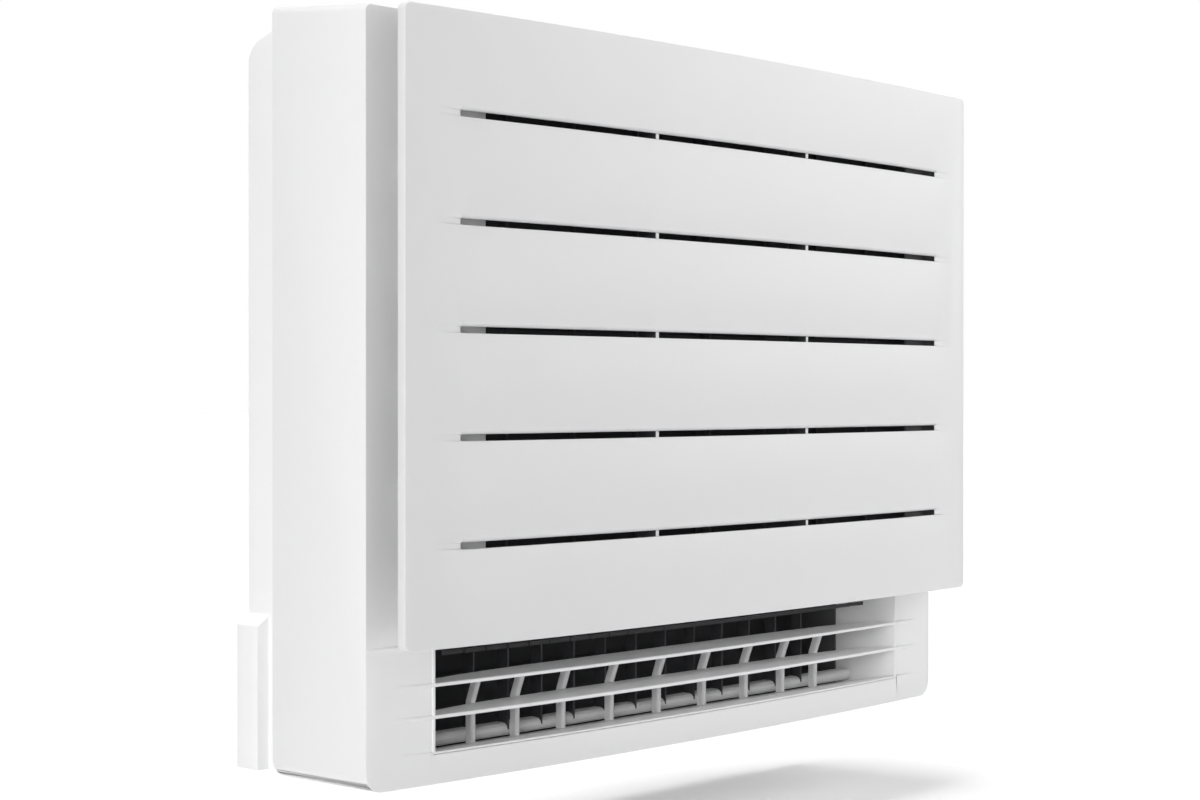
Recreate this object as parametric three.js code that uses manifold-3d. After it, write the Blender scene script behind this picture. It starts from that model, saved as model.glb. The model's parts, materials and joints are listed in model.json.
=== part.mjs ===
// Floor-ceiling air conditioner, indoor unit.
// Millimetres, +Z up, front towards -Y, origin under the middle of the unit at floor level.
import * as THREE from 'three';
import { mergeVertices } from 'three/addons/utils/BufferGeometryUtils.js';
import Module from 'manifold-3d';

const wasm = await Module();
wasm.setup();

// Whole unit
const WIDTH = 750;
const HEIGHT = 600;
const DEPTH = 238;

// Clearances: between parts that touch, round moving parts, and the overrun of every cut
const SEAT_GAP = 0.3;
const RUN_GAP = 0.8;
const CUT = 5;

// A corner left sharp has this share of its neighbour's round
const SHARP_SHARE = 0.01;

// Sides of round holes and rods: large ones and small ones
const ROUND_SIDES = 16;
const PIN_SIDES = 8;
const NUT_SIDES = 6;

// Directions of an arc's ends, in degrees from the first axis towards the second
const ANGLE_BELOW = -90;
const ANGLE_ABOVE = 90;
const ANGLE_BEHIND = 180;
const ANGLE_UNDER = 270;
const ANGLE_ROUND = 360;

// Bow of the whole front, seen from above: the middle stands forward of the ends
const FRONT_BOW = 16;
const BOW_STEPS = 12;

// Front panel: a bowed plate with a flat back that stands forward of the casing
const PANEL_STANDOFF = 41.5;
const PANEL_REVEAL = 1.4;
const PANEL_BOTTOM = 109.6;
const PANEL_TOP_DROP = 12.5;
const PANEL_RIM = 8.5;
const PANEL_SKIN = 3;
const PANEL_RIM_WALL = 2.5;
const PANEL_CORNER = 6;
const SLOT_COUNT = 5;
const SLOT_RISE = 75.4;
const SLOT_TOP_MARGIN = 77.7;
const SLOT_HEIGHT = 5.1;
const SLOT_MARGIN = 56;
const SLOT_FADE = 31;
const SLOT_FADE_DEPTH = 2;
const SLOT_LIP = 2.4;
const BRIDGE_PLACE_SHARE = 0.32;
const BRIDGE_WIDTH = 4;
const LAND_INSET = 7.5;
const LAND_WIDTH = 29;
const LAND_THICKNESS = 1.5;

// Panel hinge and catches
const HINGE_MARGIN = 125;
const HINGE_DROP = 12;
const HINGE_BACK = 13.5;
const HINGE_PIN = 2.5;
const HINGE_LUG = 6;
const HINGE_LUG_WIDTH = 6;
const HINGE_PIN_LENGTH = 9;
const HINGE_EAR_WIDTH = 5;
const HINGE_STEPS = 6;
const CATCH_MARGIN = 165;
const CATCH_WIDTH = 14;
const CATCH_TONGUE = 3;
const CATCH_REACH = 14;
const CATCH_PRONG = 2.5;
const CATCH_DEPTH = 14;
const CATCH_CLEARANCE = 1.2;

// Front casing
const CASING_DEPTH = 108;
const CASING_WALL = 3;
const TOP_FALL = 9.5;
const CASING_TOP_ROUND = 6;
const CASING_BOTTOM_ROUND = 16;
const CASING_SILL = 17;
const INTAKE_MARGIN = 57;
const INTAKE_RISE = 38.4;
const INTAKE_TOP_DROP = 52;
const INTAKE_CORNER = 8;
const SCOOP_LENGTH = 44;
const SCOOP_DEPTH = 1.6;
const CHIN_BAND = 2.7;

// Rear frame
const FRAME_INSET = 27;
const FRAME_WALL = 3;
const FRAME_TOP_STEP = 1;
const FRAME_TOP_FALL = 21;
const FRAME_TOP_ROUND = 10;
const FRAME_FRONT = 60.5;
const FRAME_HEAD_ROOM = 14;
const BLOCK_INSET = 15;
const BLOCK_DEPTH = 26;
const BLOCK_HEIGHT = 115;
const BLOCK_CHAMFER = 10;
const RAISED_MARGIN = 75;
const RAISED_BOTTOM = 34;
const RAISED_TOP_DROP = 44;
const RAISED_DEPTH = 10;
const RAISED_CHAMFER = 14;
const SCREW_HOLE = 3;
const SCREW_HOLE_MARGIN = 53;
const SCREW_HOLE_RISE = 160;
const SCREW_HOLE_DROP = 100;

// Air passage in the frame
const PASSAGE_MARGIN = 75;
const PASSAGE_WALL = 3;
const WAIST_CLEARANCE = 28;
const PASSAGE_TOP_DROP = 68;
const PASSAGE_STEPS = 10;
const FLOOR_RISE = 14;
const FLOOR_STEPS = 12;
const HEAD_BEND_REACH = 160;
const HEAD_BEND_DROP = 76;
const HEAD_BEND_STEPS = 8;

// Lower outlet: mouth, rails and upright ribs in one grille
const MOUTH_MARGIN = 67;
const MOUTH_TAPER = 7;
const MOUTH_BOTTOM = 25;
const MOUTH_HEIGHT = 78;
const MOUTH_FALL = 3;
const MOUTH_WALL = 2;
const RAIL_THICKNESS = 3;
const RAIL_RISE_SHARES = [0.635, 0.32];
const RAIL_DEPTH = 26;
const RAIL_BOW = 15;
const RAIL_BOW_POWER = 6;
const RAIL_STEPS = 24;
const RIB_PLACE_SHARES = [0, 0.203, 0.401, 0.581, 0.747];
const RIB_SETBACK = 22;
const RIB_LEAN = 9;
const RIB_DEPTH = 9;
const RIB_WIDTH = 4.6;
const RIB_TAIL_WIDTH = 3;
const RIB_NOSE_STEPS = 4;

// Dark inner vanes behind the grille
const VANE_COUNT = 12;
const VANE_MARGIN = 88;
const VANE_SETBACK = 42;
const VANE_REAR_GAP = 6;
const VANE_WIDTH = 1.6;
const VANE_BAR = 5;
const VANE_FOOT = 11;
const VANE_FOOT_STEPS = 6;

// Lower damper: curved flap that lies on the floor of the passage
const DAMPER_START_ANGLE = 4;
const DAMPER_SWEEP_ANGLE = 49;
const DAMPER_CLEARANCE = 2.4;
const DAMPER_THICKNESS = 2.4;
const DAMPER_BARREL = 3;
const DAMPER_PIN = 2;
const DAMPER_STEPS = 8;
const DAMPER_MOTOR = [20, 26, 30];

// Upper outlet
const OUTLET_INSET = 8;
const OUTLET_REAR = 12.5;
const OUTLET_LAND = 12.4;
const OUTLET_FRAME_WALL = 2.6;
const OUTLET_FRAME_FOOT = 66;
const OUTLET_NECK = 30;
const FLAP_THICKNESS = 3;
const FLAP_BARREL = 7;
const FLAP_PIN = 2;
const FLAP_LIP = 3;
const FLAP_STEPS = 8;
const FLAP_MOTOR = [16, 22, 24];

// Upright blades of the upper outlet, in two linked groups
const GROUP_BLADE_COUNT = 4;
const BLADE_END_MARGIN = 47;
const BLADE_TOP_DROP = 18;
const BLADE_HALF_DEPTH = 23;
const BLADE_WIDTH = 1.8;
const BLADE_PIN = 2;
const BLADE_ARM = 20;
const BLADE_LINK_PIN = 1.5;
const BLADE_BAR = 8;
const BLADE_BAR_THICKNESS = 3;
const BLADE_BAR_RISE = 16;
const BLADE_PIVOT_SETBACK = 33;
const LINK_WIDTH = 8;
const LINK_THICKNESS = 3;
const LINK_SLOT_PLAY = 2.2;

// Intake frame, filters and purifying filters
const FILTER_FRAME_MARGIN = 45;
const FILTER_FRAME_LAP = 10;
const FILTER_FRAME_DROP = 40;
const FILTER_FRAME_GAP = 7.5;
const FILTER_FRAME_WALL = 2.5;
const LATTICE_REAR_GAP = 13.2;
const LATTICE_THICKNESS = 3;
const LATTICE_BAR = 3;
const LATTICE_COLUMN_COUNT = 10;
const LATTICE_ROW_COUNT = 4;
const SIDE_WINDOW_COUNT = 5;
const SIDE_WINDOW_BAR = 16;
const SIDE_WINDOW_INSET = 3;
const FILTER_THICKNESS = 4;
const FILTER_RIM = 8;
const FILTER_NET = 0.8;
const FILTER_BAR = 2.4;
const FILTER_COLUMN_COUNT = 4;
const FILTER_ROW_COUNT = 6;
const FILTER_GAP = 0.6;
const FILTER_TAB = [50, 4, 10];
const PURIFIER_SIDE_GAP = 45;
const PURIFIER_HEIGHT = 42;
const PURIFIER_THICKNESS = 7;
const PURIFIER_CELL_COUNT = 8;
const PURIFIER_RIM = 4;
const PURIFIER_WEB = 2;

// Heat exchanger
const CORE_INSET = 30;
const CORE_RISE = 3.4;
const CORE_TOP_DROP = 94;
const CORE_FRONT = 9.5;
const CORE_REAR_GAP = 8.2;
const FIN_COUNT = 44;
const FIN_ROOT = 8;
const FIN_WIDTH_SHARE = 0.16;
const END_PLATE = 1.5;
const END_PLATE_FLANGE = 8;
const BEND_COUNT = 6;
const BEND_RADIUS = 14;
const BEND_TUBE = 4;
const BEND_STEPS = 4;
const TUBE_SIDES = 6;

// Refrigerant pipes on the left
const GAS_PIPE = 6.4;
const LIQUID_PIPE = 3.2;
const GAS_RUN = [28, 320];
const LIQUID_RUN = [52, 240];
const PIPE_END = 62;
const PIPE_BEND = 14;
const PIPE_TURN_STEPS = 3;
const NUT_HEIGHT = 18;
const NUT_WALL = 4;

// Bell mouth plate and drain pan
const BELL_PLATE = 2.5;
const BELL_RISE = 4.4;
const BELL_TOP_DROP = 76;
const THROAT_CLEARANCE = 6;
const BELL_LIP = 14;
const BELL_ROUND = 10;
const BELL_WALL = 2.5;
const BELL_SEGMENTS = 36;
const BELL_STEPS = 4;
const PAN_CLEARANCE = 2.6;
const PAN_HEIGHT = 26;
const PAN_OVERHANG = 2;
const PAN_WALL = 2.5;
const PAN_FRONT = 5;
const DRAIN_MARGIN = 47;
const DRAIN_TUBE = 8;
const DRAIN_BORE = 6;
const DRAIN_LENGTH = 24;

// Turbo fan, shaft and motor
const FAN_MARGIN = 28;
const FAN_FRONT = 8.6;
const FAN_REAR_GAP = 7.8;
const FAN_WALL = 2.5;
const FAN_SHROUD_WIDTH = 48;
const FAN_SHROUD_DROP = 22;
const FAN_HUB = 62;
const FAN_HUB_RISE = 38;
const FAN_BOSS = 12;
const FAN_BOSS_LENGTH = 24;
const FAN_SEGMENTS = 36;
const SHROUD_STEPS = 5;
const BLADE_COUNT = 9;
const BLADE_INNER_SHARE = 0.69;
const BLADE_SWEEP_ANGLE = 38;
const BLADE_PHASE_SHARE = 0.45;
const BLADE_THICKNESS = 5;
const BLADE_STATIONS = 5;
const BLADE_THICKNESS_SHARES = [0.4, 0.9, 1, 0.9, 0.7, 0.45];
const SHAFT_RADIUS = 4;
const SHAFT_TAIL = 18;
const SHAFT_NOSE = 12;
const FAN_NUT = 9;
const FAN_NUT_HEIGHT = 7;
const MOTOR_RADIUS = 52;
const MOTOR_DEPTH = 32;
const MOTOR_FLANGE = 64;
const MOTOR_FLANGE_THICKNESS = 4;
const CUSHION_THICKNESS = 4;
const CUSHION_BORE = 46;
const MOTOR_SEGMENTS = 28;

// Electrical parts on the right
const BOX_INNER_GAP = 6;
const BOX_OUTER_GAP = 9;
const BOX_FRONT = 8;
const BOX_TOP_DROP = 84;
const BOX_RISE = 82;
const BOX_WALL = 2;
const COVER_THICKNESS = 2;
const BOARD_THICKNESS = 1.6;
const BOARD_MARGIN = 5;
const BOARD_PARTS = [[0.3, 0.2, 16, 22], [0.7, 0.35, 12, 12], [0.35, 0.62, 20, 16], [0.7, 0.8, 14, 18]];
const TERMINAL_HEIGHT = 34;
const TERMINAL_DEPTH = 20;
const TERMINAL_COUNT = 4;
const TERMINAL_WALL = 2;

// Display, button and outlet switch
const DISPLAY_INNER_GAP = 10;
const DISPLAY_OUTER_GAP = 17;
const DISPLAY_SETBACK = 18;
const DISPLAY_LENGTH = 34;
const DISPLAY_DROP = 12;
const LENS_MARGIN = 8;
const LENS_LENGTH = 8;
const BUTTON_RADIUS = 4;
const BUTTON_SETBACK = 24;
const BUTTON_TRAVEL = 1.5;
const BUTTON_HEIGHT = 7;
const SWITCH_MARGIN = 29;
const SWITCH_HEIGHT = 200;
const SWITCH_KNOB = [6, 12.5, 9];
const SWITCH_TRAVEL = 6;
const SWITCH_BASE = [16, 12, 30];

// Places that follow from the sizes above: depths, heights, then widths from the middle
const FRONT = FRONT_BOW - DEPTH / 2;
const BACK = DEPTH / 2;
const FACE = FRONT + PANEL_STANDOFF;
const CASING_REAR = FACE + CASING_DEPTH;
const FRAME_REAR = BACK - RAISED_DEPTH;
const FRAME_EDGE = FACE + FRAME_FRONT;
const FRAME_INSIDE = FRAME_REAR - FRAME_WALL;
const PANEL_BACK = FRONT + PANEL_RIM;
const BELL_FACE = FRAME_EDGE - SEAT_GAP - BELL_PLATE;
const FLOOR_ROUND = FRAME_INSIDE - PASSAGE_WALL - FRAME_EDGE;
const MOUTH_DEPTH = FRAME_FRONT - SEAT_GAP;
const VANE_DEPTH = MOUTH_DEPTH - VANE_SETBACK - VANE_REAR_GAP;
const OUTLET_LENGTH = CASING_DEPTH - 2 * OUTLET_REAR - OUTLET_FRAME_WALL - OUTLET_LAND;
const FILTER_FRAME_DEPTH = FACE - SEAT_GAP - PANEL_BACK - FILTER_FRAME_GAP;
const LATTICE_FRONT = FACE - SEAT_GAP - LATTICE_REAR_GAP;

const PANEL_TOP = HEIGHT - PANEL_TOP_DROP;
const SLOT_PITCH = (PANEL_TOP - PANEL_BOTTOM - SLOT_RISE - SLOT_TOP_MARGIN) / (SLOT_COUNT - 1);
const MOUTH_TOP = MOUTH_BOTTOM + MOUTH_HEIGHT;
const FLOOR_TOP = FLOOR_RISE + FLOOR_ROUND;
const CHIN_TOP = MOUTH_TOP + MOUTH_WALL + SEAT_GAP + CHIN_BAND;
const PAN_BOTTOM = MOUTH_TOP + MOUTH_WALL + PAN_CLEARANCE;
const CORE_BOTTOM = PAN_BOTTOM + PAN_HEIGHT + CORE_RISE;
const CORE_TOP = HEIGHT - CORE_TOP_DROP;
const INTAKE_BOTTOM = PAN_BOTTOM + INTAKE_RISE;
const INTAKE_TOP = HEIGHT - INTAKE_TOP_DROP;
const FILTER_FRAME_BOTTOM = INTAKE_BOTTOM - FILTER_FRAME_LAP;
const FILTER_FRAME_TOP = HEIGHT - FILTER_FRAME_DROP;
const BELL_BOTTOM = PAN_BOTTOM + BELL_RISE;
const BELL_TOP = HEIGHT - BELL_TOP_DROP;
const RAISED_TOP = HEIGHT - RAISED_TOP_DROP;
const HEAD_BEND_START = HEIGHT - HEAD_BEND_REACH;
const SWITCH_MIDDLE = SWITCH_HEIGHT + SWITCH_TRAVEL / 2;
const BOX_BOTTOM = SWITCH_MIDDLE + SWITCH_BASE[2] / 2 + BOX_RISE;
const BOX_TOP = HEIGHT - BOX_TOP_DROP;
const BLADE_LOW = HEIGHT - OUTLET_FRAME_FOOT + BLADE_BAR_RISE + SEAT_GAP;
const BLADE_HEIGHT = HEIGHT - BLADE_TOP_DROP - BLADE_LOW;

const HALF = WIDTH / 2;
const PANEL_HALF = HALF - PANEL_REVEAL;
const SLOT_HALF = HALF - SLOT_MARGIN;
const HINGE_PLACE = HALF - HINGE_MARGIN;
const CATCH_PLACE = HALF - CATCH_MARGIN;
const INTAKE_HALF = HALF - INTAKE_MARGIN;
const FILTER_FRAME_HALF = HALF - FILTER_FRAME_MARGIN;
const PURIFIER_WIDTH = FILTER_FRAME_HALF - 2 * PURIFIER_SIDE_GAP;
const FRAME_HALF = HALF - FRAME_INSET;
const RAISED_HALF = HALF - RAISED_MARGIN;
const PASSAGE_HALF = HALF - PASSAGE_MARGIN;
const MOUTH_HALF = HALF - MOUTH_MARGIN;
const OUTLET_HALF = PASSAGE_HALF - OUTLET_INSET;
const CORE_HALF = PASSAGE_HALF - CORE_INSET;
const PAN_HALF = PASSAGE_HALF + PAN_OVERHANG;
const DRAIN_PLACE = HALF - DRAIN_MARGIN;
const BOX_INNER_SIDE = PASSAGE_HALF + BOX_INNER_GAP;
const BOX_WIDTH = HALF - BOX_OUTER_GAP - BOX_INNER_SIDE;
const DISPLAY_PLACE = (PASSAGE_HALF + DISPLAY_INNER_GAP + HALF - DISPLAY_OUTER_GAP) / 2;
const DISPLAY_HALF = HALF - DISPLAY_OUTER_GAP - DISPLAY_PLACE;
const LENS_HALF = DISPLAY_HALF - LENS_MARGIN;
const SWITCH_PLACE = HALF - SWITCH_MARGIN;

const FAN_CENTRE = (BELL_BOTTOM + BELL_TOP) / 2;
const FAN_RADIUS = (BELL_TOP - BELL_BOTTOM) / 2 - FAN_MARGIN;
const FAN_INLET = FAN_RADIUS - FAN_SHROUD_WIDTH;
const BELL_THROAT = FAN_INLET - THROAT_CLEARANCE;
const PASSAGE_WAIST = FAN_RADIUS + WAIST_CLEARANCE;

// Height of the casing's sloping top at a depth y
function topAt(y) {
  return HEIGHT - TOP_FALL * (CASING_REAR - y) / CASING_DEPTH;
}

// A closed geometry as a solid: shared corners merged, flat slivers dropped, faces turned outwards
function solid(geometry) {
  const bare = geometry.clone();
  bare.deleteAttribute('normal');
  bare.deleteAttribute('uv');
  const merged = mergeVertices(bare);
  const place = merged.attributes.position.array;
  const faces = [];
  let volume = 0;
  for (let i = 0; i < merged.index.count; i += 3) {
    const [a, b, c] = merged.index.array.slice(i, i + 3);
    if (a === b || b === c || c === a) continue;
    const corner = [a, b, c].map((n) => new THREE.Vector3().fromArray(place, 3 * n));
    volume += corner[0].dot(corner[1].cross(corner[2]));
    faces.push([a, b, c]);
  }
  const turned = volume > 0 ? faces : faces.map(([a, b, c]) => [a, c, b]);
  return new wasm.Manifold(new wasm.Mesh({
    numProp: 3,
    vertProperties: new Float32Array(place),
    triVerts: new Uint32Array(turned.flat()),
  }));
}

function geometryOf(shape) {
  const mesh = shape.getMesh();
  const geometry = new THREE.BufferGeometry();
  geometry.setAttribute('position', new THREE.BufferAttribute(mesh.vertProperties, 3));
  geometry.setIndex(new THREE.BufferAttribute(mesh.triVerts, 1));
  return geometry;
}

function joined(shapes) {
  return shapes.reduce((sum, shape) => sum.add(shape));
}

function cut(shape, cutters) {
  return cutters.reduce((rest, cutter) => rest.subtract(cutter), shape);
}

// The mirror image of a solid in the plane x = 0
function mirrored(shape) {
  return solid(geometryOf(shape).scale(-1, 1, 1));
}

function both(shape) {
  return [shape, mirrored(shape)];
}

function block(x0, x1, y0, y1, z0, z1) {
  const geometry = new THREE.BoxGeometry(x1 - x0, y1 - y0, z1 - z0);
  return solid(geometry.translate((x0 + x1) / 2, (y0 + y1) / 2, (z0 + z1) / 2));
}

function shapeOf(outline) {
  if (outline instanceof THREE.Shape) return outline;
  return new THREE.Shape(outline.map(([u, v]) => new THREE.Vector2(u, v)));
}

function extruded(outline, length) {
  const options = { depth: length, bevelEnabled: false, curveSegments: 4 };
  return new THREE.ExtrudeGeometry(shapeOf(outline), options);
}

// Outline in (y, z), run along x
function prismX(outline, x0, x1) {
  const turn = new THREE.Matrix4().makeBasis(
    new THREE.Vector3(0, 1, 0), new THREE.Vector3(0, 0, 1), new THREE.Vector3(1, 0, 0));
  return solid(extruded(outline, x1 - x0).applyMatrix4(turn).translate(x0, 0, 0));
}

// Outline in (x, z), run along y
function prismY(outline, y0, y1) {
  return solid(extruded(outline, y1 - y0).rotateX(Math.PI / 2).translate(0, y1, 0));
}

// Outline in (x, y), run along z
function prismZ(outline, z0, z1) {
  return solid(extruded(outline, z1 - z0).translate(0, 0, z0));
}

// Rectangle with its own radius at the lower and the upper corners
function roundedRect(u0, v0, u1, v1, low, high = low) {
  const shape = new THREE.Shape();
  shape.moveTo(u0 + low, v0);
  shape.lineTo(u1 - low, v0);
  shape.absarc(u1 - low, v0 + low, low, -Math.PI / 2, 0, false);
  shape.lineTo(u1, v1 - high);
  shape.absarc(u1 - high, v1 - high, high, 0, Math.PI / 2, false);
  shape.lineTo(u0 + high, v1);
  shape.absarc(u0 + high, v1 - high, high, Math.PI / 2, Math.PI, false);
  shape.lineTo(u0, v0 + low);
  shape.absarc(u0 + low, v0 + low, low, Math.PI, 1.5 * Math.PI, false);
  return shape;
}

function rodX(x0, x1, y, z, radius, sides = PIN_SIDES) {
  const geometry = new THREE.CylinderGeometry(radius, radius, x1 - x0, sides);
  return solid(geometry.rotateZ(-Math.PI / 2).translate((x0 + x1) / 2, y, z));
}

function rodY(x, y0, y1, z, radius, sides = PIN_SIDES) {
  const geometry = new THREE.CylinderGeometry(radius, radius, y1 - y0, sides);
  return solid(geometry.translate(x, (y0 + y1) / 2, z));
}

function rodZ(x, y, z0, z1, radius, sides = PIN_SIDES) {
  const geometry = new THREE.CylinderGeometry(radius, radius, z1 - z0, sides);
  return solid(geometry.rotateX(Math.PI / 2).translate(x, y, (z0 + z1) / 2));
}

// Profile in (radius, y), turned about the fan's axis
function turned(profile, segments) {
  const points = profile.map(([r, y]) => new THREE.Vector2(r, y));
  if (profile[0][0] > 0) points.push(points[0].clone());
  return solid(new THREE.LatheGeometry(points, segments).translate(0, 0, FAN_CENTRE));
}

// Straight-sided duct piece between two rectangles [x, z0, z1] at two depths
function taperedBlock([xa, a0, a1], ya, [xb, b0, b1], yb) {
  const corners = [
    [-xa, ya, a0], [xa, ya, a0], [xa, ya, a1], [-xa, ya, a1],
    [-xb, yb, b0], [xb, yb, b0], [xb, yb, b1], [-xb, yb, b1],
  ];
  const quads = [[0, 1, 2, 3], [5, 4, 7, 6], [4, 5, 1, 0], [3, 2, 6, 7], [1, 5, 6, 2], [4, 0, 3, 7]];
  const geometry = new THREE.BufferGeometry();
  geometry.setAttribute('position', new THREE.BufferAttribute(new Float32Array(corners.flat()), 3));
  geometry.setIndex(quads.flatMap(([a, b, c, d]) => [a, b, c, a, c, d]));
  return solid(geometry);
}

// Solid through a row of four-cornered sections
function loft(sections) {
  const last = sections.length - 1;
  const faces = [[0, 1, 2, 3], [4 * last + 3, 4 * last + 2, 4 * last + 1, 4 * last]];
  for (let i = 0; i < last; i += 1) {
    for (let k = 0; k < 4; k += 1) {
      const next = (k + 1) % 4;
      faces.push([4 * i + next, 4 * i + k, 4 * i + 4 + k, 4 * i + 4 + next]);
    }
  }
  const geometry = new THREE.BufferGeometry();
  geometry.setAttribute('position', new THREE.BufferAttribute(new Float32Array(sections.flat(2)), 3));
  geometry.setIndex(faces.flatMap(([a, b, c, d]) => [a, b, c, a, c, d]));
  return solid(geometry);
}

// Round tube along a smooth curve through points
function tube(points, radius, steps, sides = TUBE_SIDES) {
  const path = new THREE.CatmullRomCurve3(points.map((p) => new THREE.Vector3(...p)), false, 'centripetal');
  const ring = new THREE.Shape();
  ring.absarc(0, 0, radius, 0, 2 * Math.PI, false);
  const options = { extrudePath: path, steps, curveSegments: sides, bevelEnabled: false };
  return solid(new THREE.ExtrudeGeometry(ring, options));
}

// Points of an arc in any plane of two axes, from one angle to another in degrees
function arcPoints(u, v, radius, from, to, steps) {
  return Array.from({ length: steps + 1 }, (_, i) => {
    const angle = THREE.MathUtils.degToRad(from + (to - from) * i / steps);
    return [u + radius * Math.cos(angle), v + radius * Math.sin(angle)];
  });
}

// The bowed front

function bowAt(x) {
  return FRONT_BOW * (1 - (x / HALF) ** 2);
}

// Points across the bow from left to right, for a front whose ends lie at y
function frontLine(half, y) {
  return Array.from({ length: BOW_STEPS + 1 }, (_, i) => {
    const x = (2 * i / BOW_STEPS - 1) * half;
    return [x, y - bowAt(x)];
  });
}

// Solid between the bowed front and a flat back
function bowedBlock(half, front, rear, z0, z1) {
  return prismZ([...frontLine(half, front), [half, rear], [-half, rear]], z0, z1);
}

// Front panel

// One slot: a band through the skin, a sloping upper lip, and a streak that fades out past each end
function slotCutters(rise) {
  const centre = PANEL_BOTTOM + rise;
  const low = centre - SLOT_HEIGHT / 2;
  const high = centre + SLOT_HEIGHT / 2;
  const rear = frontLine(SLOT_HALF, FRONT + PANEL_SKIN + SEAT_GAP).reverse();
  const band = prismZ([...frontLine(SLOT_HALF, FRONT - CUT), ...rear], low, high);
  const lip = loft(frontLine(SLOT_HALF, FRONT).map(([x, y]) => [
    [x, y - CUT, high + SLOT_LIP + CUT], [x, y - CUT, centre], [x, y + SLOT_LIP, centre], [x, y + SLOT_LIP, high],
  ]));
  const start = SLOT_HALF - CUT;
  const end = SLOT_HALF + SLOT_FADE;
  const crown = FRONT - FRONT_BOW - CUT;
  const fade = [
    [start, crown], [end, crown], [end, FRONT - bowAt(end)], [start, FRONT - bowAt(start) + SLOT_FADE_DEPTH]];
  return [band, lip, ...both(prismZ(fade, low, high))];
}

function panelHingeLug() {
  const pivot = hingePivot();
  const outer = HINGE_PLACE + HINGE_LUG_WIDTH;
  const root = FRONT - bowAt(outer) + PANEL_SKIN / 2;
  const lug = [
    [root, pivot.z - HINGE_LUG],
    ...arcPoints(pivot.y, pivot.z, HINGE_LUG, ANGLE_BELOW, ANGLE_ABOVE, HINGE_STEPS),
    [root, pivot.z + HINGE_LUG],
  ];
  return joined([
    prismX(lug, HINGE_PLACE, outer),
    rodX(outer - HINGE_LUG_WIDTH / 2, outer + HINGE_PIN_LENGTH, pivot.y, pivot.z, HINGE_PIN),
  ]);
}

function hingePivot() {
  return { y: PANEL_BACK + HINGE_BACK, z: FILTER_FRAME_BOTTOM - HINGE_DROP };
}

function catchHeight() {
  return FILTER_FRAME_TOP + SEAT_GAP + CATCH_PRONG + CATCH_CLEARANCE + CATCH_TONGUE / 2;
}

function catchTongue() {
  const middle = catchHeight();
  const outer = CATCH_PLACE + CATCH_WIDTH / 2;
  return block(
    CATCH_PLACE - CATCH_WIDTH / 2, outer, FRONT - bowAt(outer) + PANEL_SKIN / 2, PANEL_BACK + CATCH_REACH,
    middle - CATCH_TONGUE / 2, middle + CATCH_TONGUE / 2);
}

function frontPanel() {
  const crown = FRONT - FRONT_BOW - CUT;
  const inside = PANEL_HALF - PANEL_RIM_WALL;
  const plate = bowedBlock(PANEL_HALF, FRONT, PANEL_BACK, PANEL_BOTTOM, PANEL_TOP).intersect(prismY(
    roundedRect(-PANEL_HALF, PANEL_BOTTOM, PANEL_HALF, PANEL_TOP, PANEL_CORNER), crown, PANEL_BACK + CUT));
  const hollow = bowedBlock(inside, FRONT + PANEL_SKIN, PANEL_BACK + CUT, PANEL_BOTTOM, PANEL_TOP)
    .intersect(prismY(roundedRect(-inside, PANEL_BOTTOM + PANEL_RIM_WALL, inside, PANEL_TOP - PANEL_RIM_WALL,
      PANEL_CORNER - PANEL_RIM_WALL), crown, PANEL_BACK + 2 * CUT));
  const bridge = BRIDGE_PLACE_SHARE * SLOT_HALF;
  const land = SLOT_HALF - LAND_INSET;
  const straps = [
    ...both(block(bridge - BRIDGE_WIDTH / 2, bridge + BRIDGE_WIDTH / 2, crown, PANEL_BACK, PANEL_BOTTOM, PANEL_TOP)),
    ...both(block(land - LAND_WIDTH, land, PANEL_BACK - LAND_THICKNESS, PANEL_BACK, PANEL_BOTTOM, PANEL_TOP)),
  ];
  const slots = Array.from({ length: SLOT_COUNT }, (_, i) => slotCutters(SLOT_RISE + i * SLOT_PITCH)).flat();
  return joined([
    cut(cut(plate, [cut(hollow, straps)]), slots),
    ...both(panelHingeLug()),
    ...both(catchTongue()),
  ]);
}

// Intake frame with its lattice, and what stands in it

function hingeEar() {
  const pivot = hingePivot();
  const inner = HINGE_PLACE + HINGE_LUG_WIDTH + RUN_GAP;
  const ear = [
    [pivot.y + HINGE_LUG, FILTER_FRAME_BOTTOM + FILTER_FRAME_WALL],
    [pivot.y - HINGE_LUG, FILTER_FRAME_BOTTOM + FILTER_FRAME_WALL],
    ...arcPoints(pivot.y, pivot.z, HINGE_LUG, ANGLE_BEHIND, ANGLE_ROUND, HINGE_STEPS),
  ];
  const bore = rodX(inner - CUT, inner + HINGE_EAR_WIDTH + CUT, pivot.y, pivot.z, HINGE_PIN + SEAT_GAP);
  return prismX(ear, inner, inner + HINGE_EAR_WIDTH).subtract(bore);
}

function sideWindows() {
  const front = FACE - SEAT_GAP - FILTER_FRAME_DEPTH;
  const inside = FILTER_FRAME_TOP - FILTER_FRAME_BOTTOM - SIDE_WINDOW_BAR;
  const pitch = inside / SIDE_WINDOW_COUNT;
  return Array.from({ length: SIDE_WINDOW_COUNT }, (_, i) => {
    const low = FILTER_FRAME_BOTTOM + SIDE_WINDOW_BAR + i * pitch;
    return block(
      -FILTER_FRAME_HALF - CUT, FILTER_FRAME_HALF + CUT,
      LATTICE_FRONT + LATTICE_THICKNESS + SIDE_WINDOW_INSET / 2, front + FILTER_FRAME_DEPTH - SIDE_WINDOW_INSET,
      low, low + pitch - SIDE_WINDOW_BAR);
  });
}

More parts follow.
